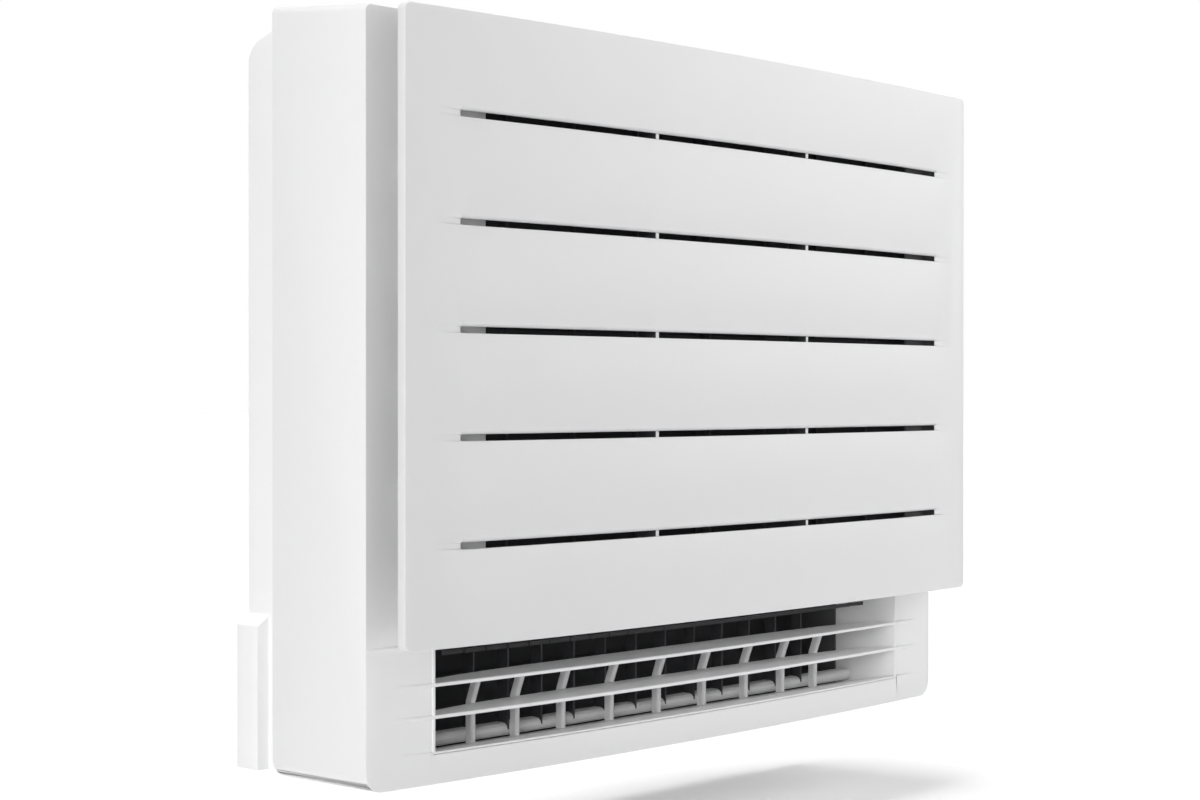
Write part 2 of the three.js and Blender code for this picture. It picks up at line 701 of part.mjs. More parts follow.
function intakeFrame() {
  const front = FACE - SEAT_GAP - FILTER_FRAME_DEPTH;
  const rear = FACE - SEAT_GAP;
  const inside = FILTER_FRAME_HALF - FILTER_FRAME_WALL;
  const low = FILTER_FRAME_BOTTOM + FILTER_FRAME_WALL;
  const high = FILTER_FRAME_TOP - FILTER_FRAME_WALL;
  const ring = block(
    -FILTER_FRAME_HALF, FILTER_FRAME_HALF, front, rear, FILTER_FRAME_BOTTOM, FILTER_FRAME_TOP,
  ).subtract(block(-inside, inside, front - CUT, rear + CUT, low, high));
  const latticeRear = LATTICE_FRONT + LATTICE_THICKNESS;
  const uprights = Array.from({ length: LATTICE_COLUMN_COUNT - 1 }, (_, i) => {
    const x = (2 * (i + 1) / LATTICE_COLUMN_COUNT - 1) * inside;
    return block(x - LATTICE_BAR / 2, x + LATTICE_BAR / 2, LATTICE_FRONT, latticeRear,
      FILTER_FRAME_BOTTOM, FILTER_FRAME_TOP);
  });
  const rails = Array.from({ length: LATTICE_ROW_COUNT - 1 }, (_, i) => {
    const z = low + (high - low) * (i + 1) / LATTICE_ROW_COUNT;
    return block(-FILTER_FRAME_HALF, FILTER_FRAME_HALF, LATTICE_FRONT, latticeRear,
      z - LATTICE_BAR / 2, z + LATTICE_BAR / 2);
  });
  const divider = block(-FILTER_FRAME_WALL / 2, FILTER_FRAME_WALL / 2, front, latticeRear,
    FILTER_FRAME_BOTTOM, FILTER_FRAME_TOP);
  return joined([cut(ring, sideWindows()), ...uprights, ...rails, divider, ...both(hingeEar())]);
}

function airFilter() {
  const rear = LATTICE_FRONT - SEAT_GAP;
  const front = rear - FILTER_THICKNESS;
  const x0 = FILTER_FRAME_WALL / 2 + FILTER_GAP;
  const x1 = FILTER_FRAME_HALF - FILTER_FRAME_WALL - FILTER_GAP;
  const z0 = FILTER_FRAME_BOTTOM + FILTER_FRAME_WALL + FILTER_GAP;
  const z1 = FILTER_FRAME_TOP - FILTER_FRAME_WALL - FILTER_GAP;
  const cellWidth = (x1 - x0 - 2 * FILTER_RIM + FILTER_BAR) / FILTER_COLUMN_COUNT;
  const cellHeight = (z1 - z0 - 2 * FILTER_RIM + FILTER_BAR) / FILTER_ROW_COUNT;
  const cells = [];
  for (let i = 0; i < FILTER_COLUMN_COUNT; i += 1) {
    for (let j = 0; j < FILTER_ROW_COUNT; j += 1) {
      const x = x0 + FILTER_RIM + i * cellWidth;
      const z = z0 + FILTER_RIM + j * cellHeight;
      cells.push(block(x, x + cellWidth - FILTER_BAR, front - CUT, rear - FILTER_NET,
        z, z + cellHeight - FILTER_BAR));
    }
  }
  const middle = (x0 + x1) / 2;
  const [tabWidth, tabDepth, tabHeight] = FILTER_TAB;
  const tab = block(middle - tabWidth / 2, middle + tabWidth / 2, front - tabDepth, rear - FILTER_NET,
    z1 - tabHeight, z1 - FILTER_NET);
  return cut(block(x0, x1, front, rear, z0, z1), cells).add(tab);
}

function purifyingFilter() {
  const front = LATTICE_FRONT + LATTICE_THICKNESS + SEAT_GAP;
  const rear = front + PURIFIER_THICKNESS;
  const x0 = FILTER_FRAME_HALF / 2 - PURIFIER_WIDTH / 2;
  const z1 = INTAKE_TOP - PURIFIER_RIM;
  const z0 = z1 - PURIFIER_HEIGHT;
  const pitch = (PURIFIER_WIDTH - 2 * PURIFIER_RIM + PURIFIER_WEB) / PURIFIER_CELL_COUNT;
  const cells = Array.from({ length: PURIFIER_CELL_COUNT }, (_, i) => {
    const x = x0 + PURIFIER_RIM + i * pitch;
    return block(x, x + pitch - PURIFIER_WEB, front + PURIFIER_WEB, rear + CUT, z0 + PURIFIER_RIM, z1 - PURIFIER_RIM);
  });
  return cut(block(x0, x0 + PURIFIER_WIDTH, front, rear, z0, z1), cells);
}

// Push-in catch: two prongs over and under the panel's tongue, on a base on the intake frame
function panelCatch() {
  const middle = catchHeight();
  const open = CATCH_TONGUE / 2 + CATCH_CLEARANCE;
  const front = FACE - SEAT_GAP - FILTER_FRAME_DEPTH;
  const outside = block(
    CATCH_PLACE - CATCH_WIDTH, CATCH_PLACE + CATCH_WIDTH, front, front + CATCH_DEPTH,
    middle - open - CATCH_PRONG, middle + open + CATCH_PRONG);
  return outside.subtract(block(
    CATCH_PLACE - CATCH_WIDTH / 2 - CATCH_CLEARANCE, CATCH_PLACE + CATCH_WIDTH / 2 + CATCH_CLEARANCE,
    front - CUT, front + CATCH_DEPTH - CATCH_PRONG, middle - open, middle + open));
}

// Front casing

function casingProfile(inset) {
  return [
    [FACE + inset, inset], [CASING_REAR - inset, inset],
    [CASING_REAR - inset, topAt(CASING_REAR - inset) - inset], [FACE + inset, topAt(FACE + inset) - inset],
  ];
}

// Bowed chin under the panel, which carries the lower outlet
function chin(inset) {
  return bowedBlock(HALF - inset, FACE + inset, FACE + CASING_WALL + inset, inset, CHIN_TOP - inset);
}

// Shallow hollow beside the lower outlet, with the rails left standing as fading creases
function scoop() {
  const start = MOUTH_HALF + MOUTH_WALL;
  const end = start + SCOOP_LENGTH;
  const crown = FACE - FRONT_BOW - CUT;
  const outline = [
    [start - CUT, crown], [end, crown], [end, FACE - bowAt(end)], [start - CUT, FACE - bowAt(start) + SCOOP_DEPTH]];
  const bands = [MOUTH_BOTTOM, ...RAIL_RISE_SHARES.map(railLow).reverse(), MOUTH_TOP];
  return bands.slice(0, -1).map((low, i) => (
    prismZ(outline, i === 0 ? low : low + RAIL_THICKNESS, bands[i + 1])));
}

function frontCasing() {
  const crown = FACE - FRONT_BOW - CUT;
  const outline = roundedRect(-HALF, 0, HALF, HEIGHT + 2 * CASING_BOTTOM_ROUND, CASING_BOTTOM_ROUND);
  const shell = prismX(casingProfile(0), -HALF, HALF).add(chin(0))
    .intersect(prismY(outline, crown, CASING_REAR + CUT))
    .intersect(casingTopRound(0));
  const inside = HALF - CASING_WALL;
  const hollow = prismX(casingProfile(CASING_WALL), -inside, inside).intersect(casingTopRound(CASING_WALL));
  const frameWay = block(-FRAME_HALF - SEAT_GAP, FRAME_HALF + SEAT_GAP,
    FACE + CASING_SILL, CASING_REAR + CUT, -CUT, HEIGHT - FRAME_HEAD_ROOM + SEAT_GAP);
  const intake = prismY(roundedRect(-INTAKE_HALF, INTAKE_BOTTOM, INTAKE_HALF, INTAKE_TOP, INTAKE_CORNER),
    FACE - CUT, FACE + CASING_WALL + CUT);
  const mouth = MOUTH_HALF + MOUTH_WALL + SEAT_GAP;
  const lower = block(-mouth, mouth, crown, FACE + CASING_WALL + CUT,
    MOUTH_BOTTOM - MOUTH_WALL - SEAT_GAP, MOUTH_TOP + MOUTH_WALL + SEAT_GAP);
  const upper = block(-OUTLET_HALF, OUTLET_HALF, outletRear() - OUTLET_LENGTH, outletRear(),
    topAt(FACE) - 2 * CASING_WALL - CUT, HEIGHT + CUT);
  const [knobWidth, , knobHeight] = SWITCH_KNOB;
  const switchSlot = block(
    SWITCH_PLACE - knobWidth / 2 - SEAT_GAP, SWITCH_PLACE + knobWidth / 2 + SEAT_GAP,
    FACE - CUT, FACE + CASING_WALL + CUT,
    SWITCH_HEIGHT - knobHeight / 2 - RUN_GAP, SWITCH_HEIGHT + knobHeight / 2 + SWITCH_TRAVEL + RUN_GAP);
  const lens = block(DISPLAY_PLACE - LENS_HALF - SEAT_GAP, DISPLAY_PLACE + LENS_HALF + SEAT_GAP,
    lensFront() - SEAT_GAP, lensFront() + LENS_LENGTH + SEAT_GAP, topAt(FACE) - 2 * CASING_WALL - CUT, HEIGHT + CUT);
  const button = rodZ(DISPLAY_PLACE, FACE + DISPLAY_SETBACK + BUTTON_SETBACK,
    topAt(FACE) - 2 * CASING_WALL - CUT, HEIGHT + CUT, BUTTON_RADIUS + SEAT_GAP, ROUND_SIDES);
  return cut(shell, [hollow, chin(CASING_WALL), frameWay, intake, lower, upper, switchSlot, lens, button,
    ...scoop(), ...scoop().map(mirrored)]);
}

// Rounds the two long top edges along the slope
function casingTopRound(inset) {
  const side = HALF - inset;
  const round = CASING_TOP_ROUND - inset / 2;
  const rear = topAt(CASING_REAR) - inset;
  const outline = roundedRect(-side, 0, side, rear, SHARP_SHARE * round, round);
  const slope = Math.atan2(TOP_FALL, CASING_DEPTH);
  const options = { depth: 2 * DEPTH, bevelEnabled: false, curveSegments: 4 };
  const geometry = new THREE.ExtrudeGeometry(shapeOf(outline), options).rotateX(Math.PI / 2);
  const turn = new THREE.Matrix4().makeRotationX(slope);
  return solid(geometry.translate(0, DEPTH, -rear).applyMatrix4(turn).translate(0, CASING_REAR, rear));
}

function outletRear() {
  return FACE + OUTLET_REAR + OUTLET_LENGTH + OUTLET_FRAME_WALL + OUTLET_REAR;
}

function lensFront() {
  return FACE + DISPLAY_SETBACK + CUT;
}

// Rear frame

function passageOutline(offset) {
  const top = HEIGHT - PASSAGE_TOP_DROP;
  const middle = (FLOOR_TOP + top) / 2;
  const reach = (top - FLOOR_TOP) / 2;
  const side = Array.from({ length: 2 * PASSAGE_STEPS + 1 }, (_, i) => {
    const t = i / PASSAGE_STEPS - 1;
    const swell = (1 - Math.cos(Math.PI * t)) / 2;
    return [PASSAGE_WAIST + (PASSAGE_HALF - PASSAGE_WAIST) * swell + offset, middle + reach * t];
  });
  const half = PASSAGE_HALF + offset;
  const right = [[half, -CUT], ...side, [half, HEIGHT + CUT]];
  return [...right, ...right.map(([x, z]) => [-x, z]).reverse()];
}

// The passage in side view: floor curving up to the back wall, back wall, head bending to the front
function airProfile() {
  const floor = arcPoints(FRAME_EDGE, FLOOR_TOP, FLOOR_ROUND, ANGLE_BELOW, 0, FLOOR_STEPS);
  const head = headCurve(0).getPoints(HEAD_BEND_STEPS).map((p) => [p.x, p.y]);
  return [[FRAME_EDGE - CUT, FLOOR_RISE], ...floor, ...head, [headFront(), HEIGHT + CUT], [FRAME_EDGE - CUT, HEIGHT + CUT]];
}

function headFront() {
  return outletRear() + RUN_GAP + OUTLET_FRAME_WALL;
}

function headCurve(offset) {
  return new THREE.QuadraticBezierCurve(
    new THREE.Vector2(FRAME_EDGE + FLOOR_ROUND + offset, HEAD_BEND_START),
    new THREE.Vector2(FRAME_EDGE + FLOOR_ROUND + offset, HEIGHT - HEAD_BEND_DROP + offset),
    new THREE.Vector2(headFront() + offset, HEIGHT - FRAME_HEAD_ROOM + offset));
}

function frameBody() {
  const fall = HEIGHT - FRAME_TOP_STEP - FRAME_TOP_FALL;
  const outside = [
    [FRAME_EDGE, 0], [FRAME_REAR, 0], [FRAME_REAR, fall - FRAME_TOP_ROUND],
    [FRAME_REAR - FRAME_TOP_ROUND / 3, fall - FRAME_TOP_ROUND / 3],
    [FRAME_REAR - FRAME_TOP_ROUND, fall + FRAME_TOP_ROUND / 3],
    [CASING_REAR + SEAT_GAP, HEIGHT - FRAME_TOP_STEP],
    [CASING_REAR + SEAT_GAP, HEIGHT - FRAME_HEAD_ROOM], [FRAME_EDGE, HEIGHT - FRAME_HEAD_ROOM],
  ];
  const blockHalf = HALF - BLOCK_INSET;
  const lowBlock = [
    [-blockHalf, 0], [blockHalf, 0], [blockHalf, BLOCK_HEIGHT], [FRAME_HALF - FRAME_WALL, BLOCK_HEIGHT + BLOCK_CHAMFER],
    [FRAME_WALL - FRAME_HALF, BLOCK_HEIGHT + BLOCK_CHAMFER], [-blockHalf, BLOCK_HEIGHT],
  ];
  const inner = RAISED_HALF - RAISED_CHAMFER;
  const raised = taperedBlock(
    [RAISED_HALF, RAISED_BOTTOM, RAISED_TOP], FRAME_REAR - FRAME_WALL,
    [inner, RAISED_BOTTOM + RAISED_CHAMFER, RAISED_TOP - RAISED_CHAMFER], BACK);
  return joined([
    prismX(outside, -FRAME_HALF, FRAME_HALF),
    prismY(lowBlock, FRAME_REAR - BLOCK_DEPTH, FRAME_REAR),
    raised,
  ]);
}

// Everything inside the frame's outer walls, under its sloping roof
function frameRoom() {
  const inside = FRAME_HALF - FRAME_WALL;
  const fall = HEIGHT - FRAME_TOP_STEP - FRAME_TOP_FALL;
  return prismX([
    [FRAME_EDGE - CUT, FRAME_WALL], [FRAME_INSIDE, FRAME_WALL],
    [FRAME_INSIDE, fall - FRAME_TOP_ROUND - FRAME_WALL],
    [FRAME_REAR - FRAME_TOP_ROUND, fall + FRAME_TOP_ROUND / 3 - 2 * FRAME_WALL],
    [CASING_REAR, HEIGHT - FRAME_HEAD_ROOM - FRAME_WALL],
    [FRAME_EDGE - CUT, HEIGHT - FRAME_HEAD_ROOM - FRAME_WALL],
  ], -inside, inside);
}

// Bays at both sides of the waisted passage
function frameBays() {
  return frameRoom().subtract(prismY(passageOutline(PASSAGE_WALL), FRAME_EDGE - 2 * CUT, FRAME_REAR));
}

// Hollows under the curved floor and behind the bent head, open to the bays at both sides
function frameVoids() {
  const inside = FRAME_HALF - FRAME_WALL;
  const under = arcPoints(FRAME_EDGE, FLOOR_TOP, FLOOR_ROUND + PASSAGE_WALL, ANGLE_BELOW, 0, FLOOR_STEPS)
    .filter(([y, z]) => z > 2 * FRAME_WALL && y < FRAME_INSIDE - FRAME_WALL);
  const low = [...under, [FRAME_INSIDE, under.at(-1)[1]], [FRAME_INSIDE, -CUT], [under[0][0], -CUT]];
  const bend = headCurve(PASSAGE_WALL).getPoints(HEAD_BEND_STEPS).map((p) => [p.x, p.y])
    .filter(([y, z]) => y < FRAME_INSIDE - FRAME_WALL && z < HEIGHT - FRAME_HEAD_ROOM - 2 * FRAME_WALL);
  const high = [...bend, [bend.at(-1)[0], HEIGHT], [FRAME_REAR, HEIGHT], [FRAME_REAR, bend[0][1]]];
  return [prismX(low, -inside, inside), frameRoom().intersect(prismX(high, -HALF, HALF))];
}

// The raised middle of the back: open to the passage behind the fan, and hollow above and below it
function raisedHollows() {
  const behindFan = FRAME_EDGE + FLOOR_ROUND - FRAME_WALL;
  const inset = RAISED_CHAMFER + FRAME_WALL / 2;
  const hollow = taperedBlock(
    [RAISED_HALF - FRAME_WALL, RAISED_BOTTOM + FRAME_WALL, RAISED_TOP - FRAME_WALL], behindFan,
    [RAISED_HALF - inset, RAISED_BOTTOM + inset, RAISED_TOP - inset], BACK - FRAME_WALL);
  const bands = [
    [RAISED_BOTTOM, FLOOR_TOP - PASSAGE_WALL, FRAME_INSIDE - SEAT_GAP],
    [FLOOR_TOP, HEAD_BEND_START, behindFan],
    [HEAD_BEND_START + PASSAGE_WALL, RAISED_TOP, FRAME_INSIDE - SEAT_GAP],
  ];
  return bands.map(([low, high, front]) => hollow.intersect(
    block(-RAISED_HALF, RAISED_HALF, front, BACK, low, high)));
}

function rearFrame() {
  const air = prismY(passageOutline(0), FRAME_EDGE - CUT, FRAME_REAR)
    .intersect(prismX(airProfile(), -HALF, HALF));
  const bore = PASSAGE_HALF + PASSAGE_WALL + CUT;
  const damper = damperPivot();
  const damperBore = rodX(-bore, bore, damper.y, damper.z, DAMPER_PIN + SEAT_GAP);
  const holes = [SCREW_HOLE_RISE, HEIGHT - SCREW_HOLE_DROP].flatMap((z) => both(rodY(
    HALF - SCREW_HOLE_MARGIN, FRAME_EDGE, BACK, z, SCREW_HOLE, PIN_SIDES)));
  const flapRoom = block(-FRAME_HALF + FRAME_WALL, FRAME_HALF - FRAME_WALL, FRAME_EDGE - CUT, headFront(),
    HEIGHT - OUTLET_FRAME_FOOT + OUTLET_NECK, HEIGHT);
  return cut(frameBody(), [air, frameBays(), ...frameVoids(), ...raisedHollows(), damperBore, ...holes, flapRoom]);
}

// Lower outlet

// The mouth as a solid: straight behind the bowed front, then narrowing down to the passage's floor
function mouthSolid(offset, rear) {
  const at = (y) => {
    const t = (y - FACE) / MOUTH_DEPTH;
    return [
      MOUTH_HALF - MOUTH_TAPER * t + offset,
      MOUTH_BOTTOM - (MOUTH_BOTTOM - FLOOR_RISE) * t - offset,
      MOUTH_TOP - MOUTH_FALL * t + offset];
  };
  const [half, low, high] = at(FACE);
  return joined([
    block(-half, half, FACE - FRONT_BOW - CUT, FACE, low, high),
    taperedBlock(at(FACE), FACE, at(rear), rear),
  ]);
}

function railLow(share) {
  return MOUTH_BOTTOM + share * MOUTH_HEIGHT;
}

function grilleRail(share) {
  const low = railLow(share);
  const end = MOUTH_HALF + MOUTH_WALL;
  const crown = FACE - FRONT_BOW - CUT;
  const rear = Array.from({ length: RAIL_STEPS + 1 }, (_, i) => {
    const across = 2 * i / RAIL_STEPS - 1;
    return [-across * end, FACE + RAIL_DEPTH - RAIL_BOW * Math.abs(across) ** RAIL_BOW_POWER];
  });
  return prismZ([[-end, crown], [end, crown], ...rear], low, low + RAIL_THICKNESS);
}

function grilleRib(place) {
  const [top, bend] = RAIL_RISE_SHARES.map((share) => railLow(share) + RAIL_THICKNESS / 2);
  const nose = arcPoints(0, RIB_WIDTH / 2, RIB_WIDTH / 2, ANGLE_BEHIND, ANGLE_ROUND, RIB_NOSE_STEPS);
  const section = [...nose, [RIB_TAIL_WIDTH / 2, RIB_DEPTH], [-RIB_TAIL_WIDTH / 2, RIB_DEPTH]];
  const upright = prismZ(section.map(([x, y]) => [place + x, FACE + RIB_SETBACK + RIB_LEAN + y]),
    0, bend);
  const lean = prismZ(section, 0, top - bend);
  const shear = new THREE.Matrix4().set(
    1, 0, 0, place, 0, 1, -RIB_LEAN / (top - bend), FACE + RIB_SETBACK + RIB_LEAN, 0, 0, 1, bend, 0, 0, 0, 1);
  return upright.add(solid(geometryOf(lean).applyMatrix4(shear)));
}

function lowerGrille() {
  const back = FACE + MOUTH_DEPTH;
  const outside = mouthSolid(MOUTH_WALL, back).intersect(bowedBlock(HALF, FACE, BACK, 0, HEIGHT));
  const ribs = RIB_PLACE_SHARES.map((share) => share * MOUTH_HALF)
    .flatMap((place) => (place === 0 ? [grilleRib(0)] : [grilleRib(place), grilleRib(-place)]));
  const bars = joined([...RAIL_RISE_SHARES.map(grilleRail), ...ribs]).intersect(outside);
  return outside.subtract(mouthSolid(0, back + CUT)).add(bars);
}

// Upright vanes on a rounded foot, hung from a bar
function vaneComb() {
  const front = FACE + VANE_SETBACK;
  const rear = front + VANE_DEPTH;
  const fall = (MOUTH_BOTTOM - FLOOR_RISE) * VANE_SETBACK / MOUTH_DEPTH;
  const low = MOUTH_BOTTOM - fall + SEAT_GAP;
  const high = MOUTH_TOP - MOUTH_FALL - SEAT_GAP;
  const half = MOUTH_HALF - VANE_MARGIN;
  const vanes = Array.from({ length: VANE_COUNT }, (_, i) => {
    const x = (2 * i / (VANE_COUNT - 1) - 1) * half;
    return block(x - VANE_WIDTH / 2, x + VANE_WIDTH / 2, front, rear, low + VANE_FOOT / 2, high);
  });
  const end = MOUTH_HALF - MOUTH_TAPER - SEAT_GAP;
  const round = VANE_FOOT / 2;
  const foot = [
    ...arcPoints(front + round, low + round, round, ANGLE_UNDER, ANGLE_ABOVE, VANE_FOOT_STEPS),
    [rear, low + VANE_FOOT], [rear, low]];
  return joined([...vanes, prismX(foot, -end, end), block(-end, end, rear - VANE_BAR, rear, high - VANE_BAR, high)]);
}

function damperPivot() {
  const start = THREE.MathUtils.degToRad(DAMPER_START_ANGLE);
  const radius = FLOOR_ROUND - DAMPER_CLEARANCE - DAMPER_THICKNESS / 2;
  return { y: FRAME_EDGE + radius * Math.sin(start), z: FLOOR_TOP - radius * Math.cos(start) };
}

function lowerDamper() {
  const outer = FLOOR_ROUND - DAMPER_CLEARANCE;
  const from = DAMPER_START_ANGLE + ANGLE_BELOW;
  const to = from + DAMPER_SWEEP_ANGLE;
  const strip = [
    ...arcPoints(FRAME_EDGE, FLOOR_TOP, outer, from, to, DAMPER_STEPS),
    ...arcPoints(FRAME_EDGE, FLOOR_TOP, outer - DAMPER_THICKNESS, from, to, DAMPER_STEPS).reverse(),
  ];
  const end = PASSAGE_HALF - 2 * RUN_GAP;
  const pivot = damperPivot();
  return joined([
    prismX(strip, -end, end),
    rodX(-end, end, pivot.y, pivot.z, DAMPER_BARREL),
    rodX(-PASSAGE_HALF - PASSAGE_WALL, PASSAGE_HALF + PASSAGE_WALL, pivot.y, pivot.z, DAMPER_PIN),
  ]);
}

// Small gear motor in a rounded case, with its lug
function gearMotor([width, depth, height], x, y, z) {
  const shape = roundedRect(y - depth / 2, z - height / 2, y + depth / 2, z + height / 2, height / 4);
  return prismX(shape, x, x + width);
}

// Upper outlet

const outletFrameFront = FACE + OUTLET_REAR - OUTLET_FRAME_WALL;

function flapPivot() {
  const y = outletRear() - RUN_GAP - FLAP_BARREL;
  return { y, z: topAt(y) - FLAP_BARREL };
}

function outletFrame() {
  const foot = HEIGHT - OUTLET_FRAME_FOOT;
  const neck = foot + OUTLET_NECK;
  const lift = CASING_WALL + SEAT_GAP;
  const rear = outletRear();
  const end = PASSAGE_HALF - SEAT_GAP;
  const throat = FRAME_EDGE + SEAT_GAP;
  const outside = [
    [throat, foot], [rear, foot], [rear, topAt(rear) - lift],
    [outletFrameFront, topAt(outletFrameFront) - lift], [outletFrameFront, neck],
  ];
  const wall = OUTLET_FRAME_WALL;
  const inside = [
    [throat + wall, foot - CUT], [rear + CUT, foot - CUT], [rear + CUT, HEIGHT + CUT],
    [outletFrameFront + wall, HEIGHT + CUT], [outletFrameFront + wall, neck + wall / 2],
    [throat + wall, foot + wall / 2],
  ];
  const shell = prismX(outside, -end, end).subtract(prismX(inside, wall - end, end - wall));
  const barTop = BLADE_LOW - SEAT_GAP;
  const bar = block(-end, end, bladePivot() - BLADE_BAR / 2, bladePivot() + BLADE_BAR / 2,
    barTop - BLADE_BAR_THICKNESS, barTop);
  const bores = bladePlaces().map((x) => rodZ(x, bladePivot(), foot, HEIGHT, BLADE_PIN + SEAT_GAP, PIN_SIDES));
  const pivot = flapPivot();
  const flapBore = rodX(-end - CUT, end + CUT, pivot.y, pivot.z, FLAP_PIN + SEAT_GAP);
  return cut(shell, [flapBore]).add(cut(bar, bores));
}

function upperFlap() {
  const pivot = flapPivot();
  const front = outletRear() - OUTLET_LENGTH + RUN_GAP;
  const end = OUTLET_HALF - RUN_GAP;
  const slope = Math.atan2(TOP_FALL, CASING_DEPTH);
  const drop = FLAP_THICKNESS / Math.cos(slope);
  const plate = [
    [front, topAt(front)], [front, topAt(front) - drop - FLAP_LIP],
    [front + FLAP_THICKNESS, topAt(front) - drop - FLAP_LIP], [front + 2 * FLAP_THICKNESS, topAt(front) - drop],
    [pivot.y, topAt(pivot.y) - drop], [pivot.y, topAt(pivot.y)],
  ];
  const barrel = [
    ...arcPoints(pivot.y, pivot.z, FLAP_BARREL, ANGLE_BELOW, ANGLE_ABOVE, FLAP_STEPS),
    [pivot.y - FLAP_THICKNESS, topAt(pivot.y) - drop],
  ];
  return joined([
    prismX(plate, -end, end),
    prismX(barrel, -end, end),
    rodX(-PASSAGE_HALF - PASSAGE_WALL, PASSAGE_HALF + PASSAGE_WALL, pivot.y, pivot.z, FLAP_PIN),
  ]);
}

function bladePivot() {
  return outletRear() - BLADE_PIVOT_SETBACK;
}

// Blade places from left to right, evenly spread about the middle
function bladePlaces() {
  const count = 2 * GROUP_BLADE_COUNT;
  const half = OUTLET_HALF - BLADE_END_MARGIN;
  return Array.from({ length: count }, (_, i) => (2 * i / (count - 1) - 1) * half);
}

function uprightBlade(x) {
  const low = BLADE_LOW;
  const y = bladePivot();
  const high = low + BLADE_HEIGHT;
  const plate = [
    [y - BLADE_HALF_DEPTH, low + BLADE_HEIGHT / 4], [y - BLADE_HALF_DEPTH / 2, low], [y + BLADE_HALF_DEPTH, low],
    [y + BLADE_HALF_DEPTH, high - BLADE_HEIGHT / 4], [y + BLADE_HALF_DEPTH / 2, high], [y - BLADE_HALF_DEPTH, high],
  ];
  const foot = low - BLADE_BAR_THICKNESS - 2 * RUN_GAP;
  return joined([
    prismX(plate, x - BLADE_WIDTH / 2, x + BLADE_WIDTH / 2),
    rodZ(x, y, foot, low + BLADE_HEIGHT / 4, BLADE_PIN, PIN_SIDES),
    rodZ(x, y + BLADE_ARM, low - RUN_GAP - LINK_THICKNESS - RUN_GAP, low + BLADE_HEIGHT / 4, BLADE_LINK_PIN, PIN_SIDES),
  ]);
}

function bladeLink(places) {
  const y = bladePivot() + BLADE_ARM;
  const high = BLADE_LOW - RUN_GAP;
  const low = high - LINK_THICKNESS;
  const bar = block(
    places[0] - LINK_WIDTH, places.at(-1) + LINK_WIDTH, y - LINK_WIDTH / 2, y + LINK_WIDTH / 2, low, high);
  const slots = places.map((x) => block(
    x - BLADE_LINK_PIN - RUN_GAP, x + BLADE_LINK_PIN + RUN_GAP,
    y - BLADE_LINK_PIN - LINK_SLOT_PLAY, y + BLADE_LINK_PIN + SEAT_GAP, low - CUT, high + CUT));
  return cut(bar, slots);
}

// Heat exchanger

const coreFront = FACE + CORE_FRONT;
const coreRear = BELL_FACE - CORE_REAR_GAP;
const coreMiddle = (coreFront + coreRear) / 2;

function finPack() {
  const pitch = 2 * CORE_HALF / FIN_COUNT;
  const front = Array.from({ length: FIN_COUNT }, (_, i) => {
    const x = i * pitch - CORE_HALF;
    const tip = x + pitch * FIN_WIDTH_SHARE;
    return [[x, coreFront], [tip, coreFront], [tip, coreRear - FIN_ROOT], [x + pitch, coreRear - FIN_ROOT]];
  }).flat();
  return prismZ([...front, [CORE_HALF, coreRear], [-CORE_HALF, coreRear]], CORE_BOTTOM, CORE_TOP);
}

function endPlate() {
  const x0 = CORE_HALF + SEAT_GAP;
  const rear = BELL_FACE - SEAT_GAP;
  return joined([
    block(x0, x0 + END_PLATE, coreFront, rear, CORE_BOTTOM, CORE_TOP),
    block(x0, x0 + END_PLATE_FLANGE, rear - END_PLATE, rear, CORE_BOTTOM, CORE_TOP),
  ]);
}

function returnBends() {
  const pitch = (CORE_TOP - CORE_BOTTOM) / BEND_COUNT;
  const x = CORE_HALF + SEAT_GAP + END_PLATE / 2;
  const y = coreMiddle;
  return Array.from({ length: BEND_COUNT }, (_, i) => {
    const z = CORE_BOTTOM + (i + 0.5) * pitch;
    const arc = arcPoints(x + BEND_RADIUS / 2, z, BEND_RADIUS, ANGLE_BELOW, ANGLE_ABOVE, BEND_STEPS)
      .map(([u, v]) => [u, y, v]);
    return tube([[x, y, z - BEND_RADIUS], ...arc, [x, y, z + BEND_RADIUS]], BEND_TUBE, 2 * BEND_STEPS, TUBE_SIDES / 2);
  });
}

// Pipe from the left end plate out, then down to its flare connection
function pipeRun([side, rise], radius) {
  const x = -CORE_HALF - SEAT_GAP - END_PLATE - SEAT_GAP;
  const y = coreMiddle;
  const corner = side - HALF;
  const reach = x - corner;
  const turn = arcPoints(
    corner + PIPE_BEND, rise - PIPE_BEND, PIPE_BEND, ANGLE_ABOVE, ANGLE_BEHIND, PIPE_TURN_STEPS);
  const bend = turn.map(([u, v]) => [u, y, v]);
  return tube([[x, y, rise], [x - reach / 4, y, rise], ...bend, [corner, y, rise / 2 + PIPE_END / 2], [corner, y, PIPE_END]],
    radius, 4 * PIPE_TURN_STEPS);
}

function flareNut([side], radius) {
  const x = side - HALF;
  const y = coreMiddle;
  const top = PIPE_END + NUT_HEIGHT / 2;
  const nut = rodZ(x, y, top - NUT_HEIGHT, top, radius + NUT_WALL, NUT_SIDES);
  return nut.subtract(rodZ(x, y, PIPE_END - SEAT_GAP, top + CUT, radius + SEAT_GAP, ROUND_SIDES));
}

// Bell mouth, drain pan

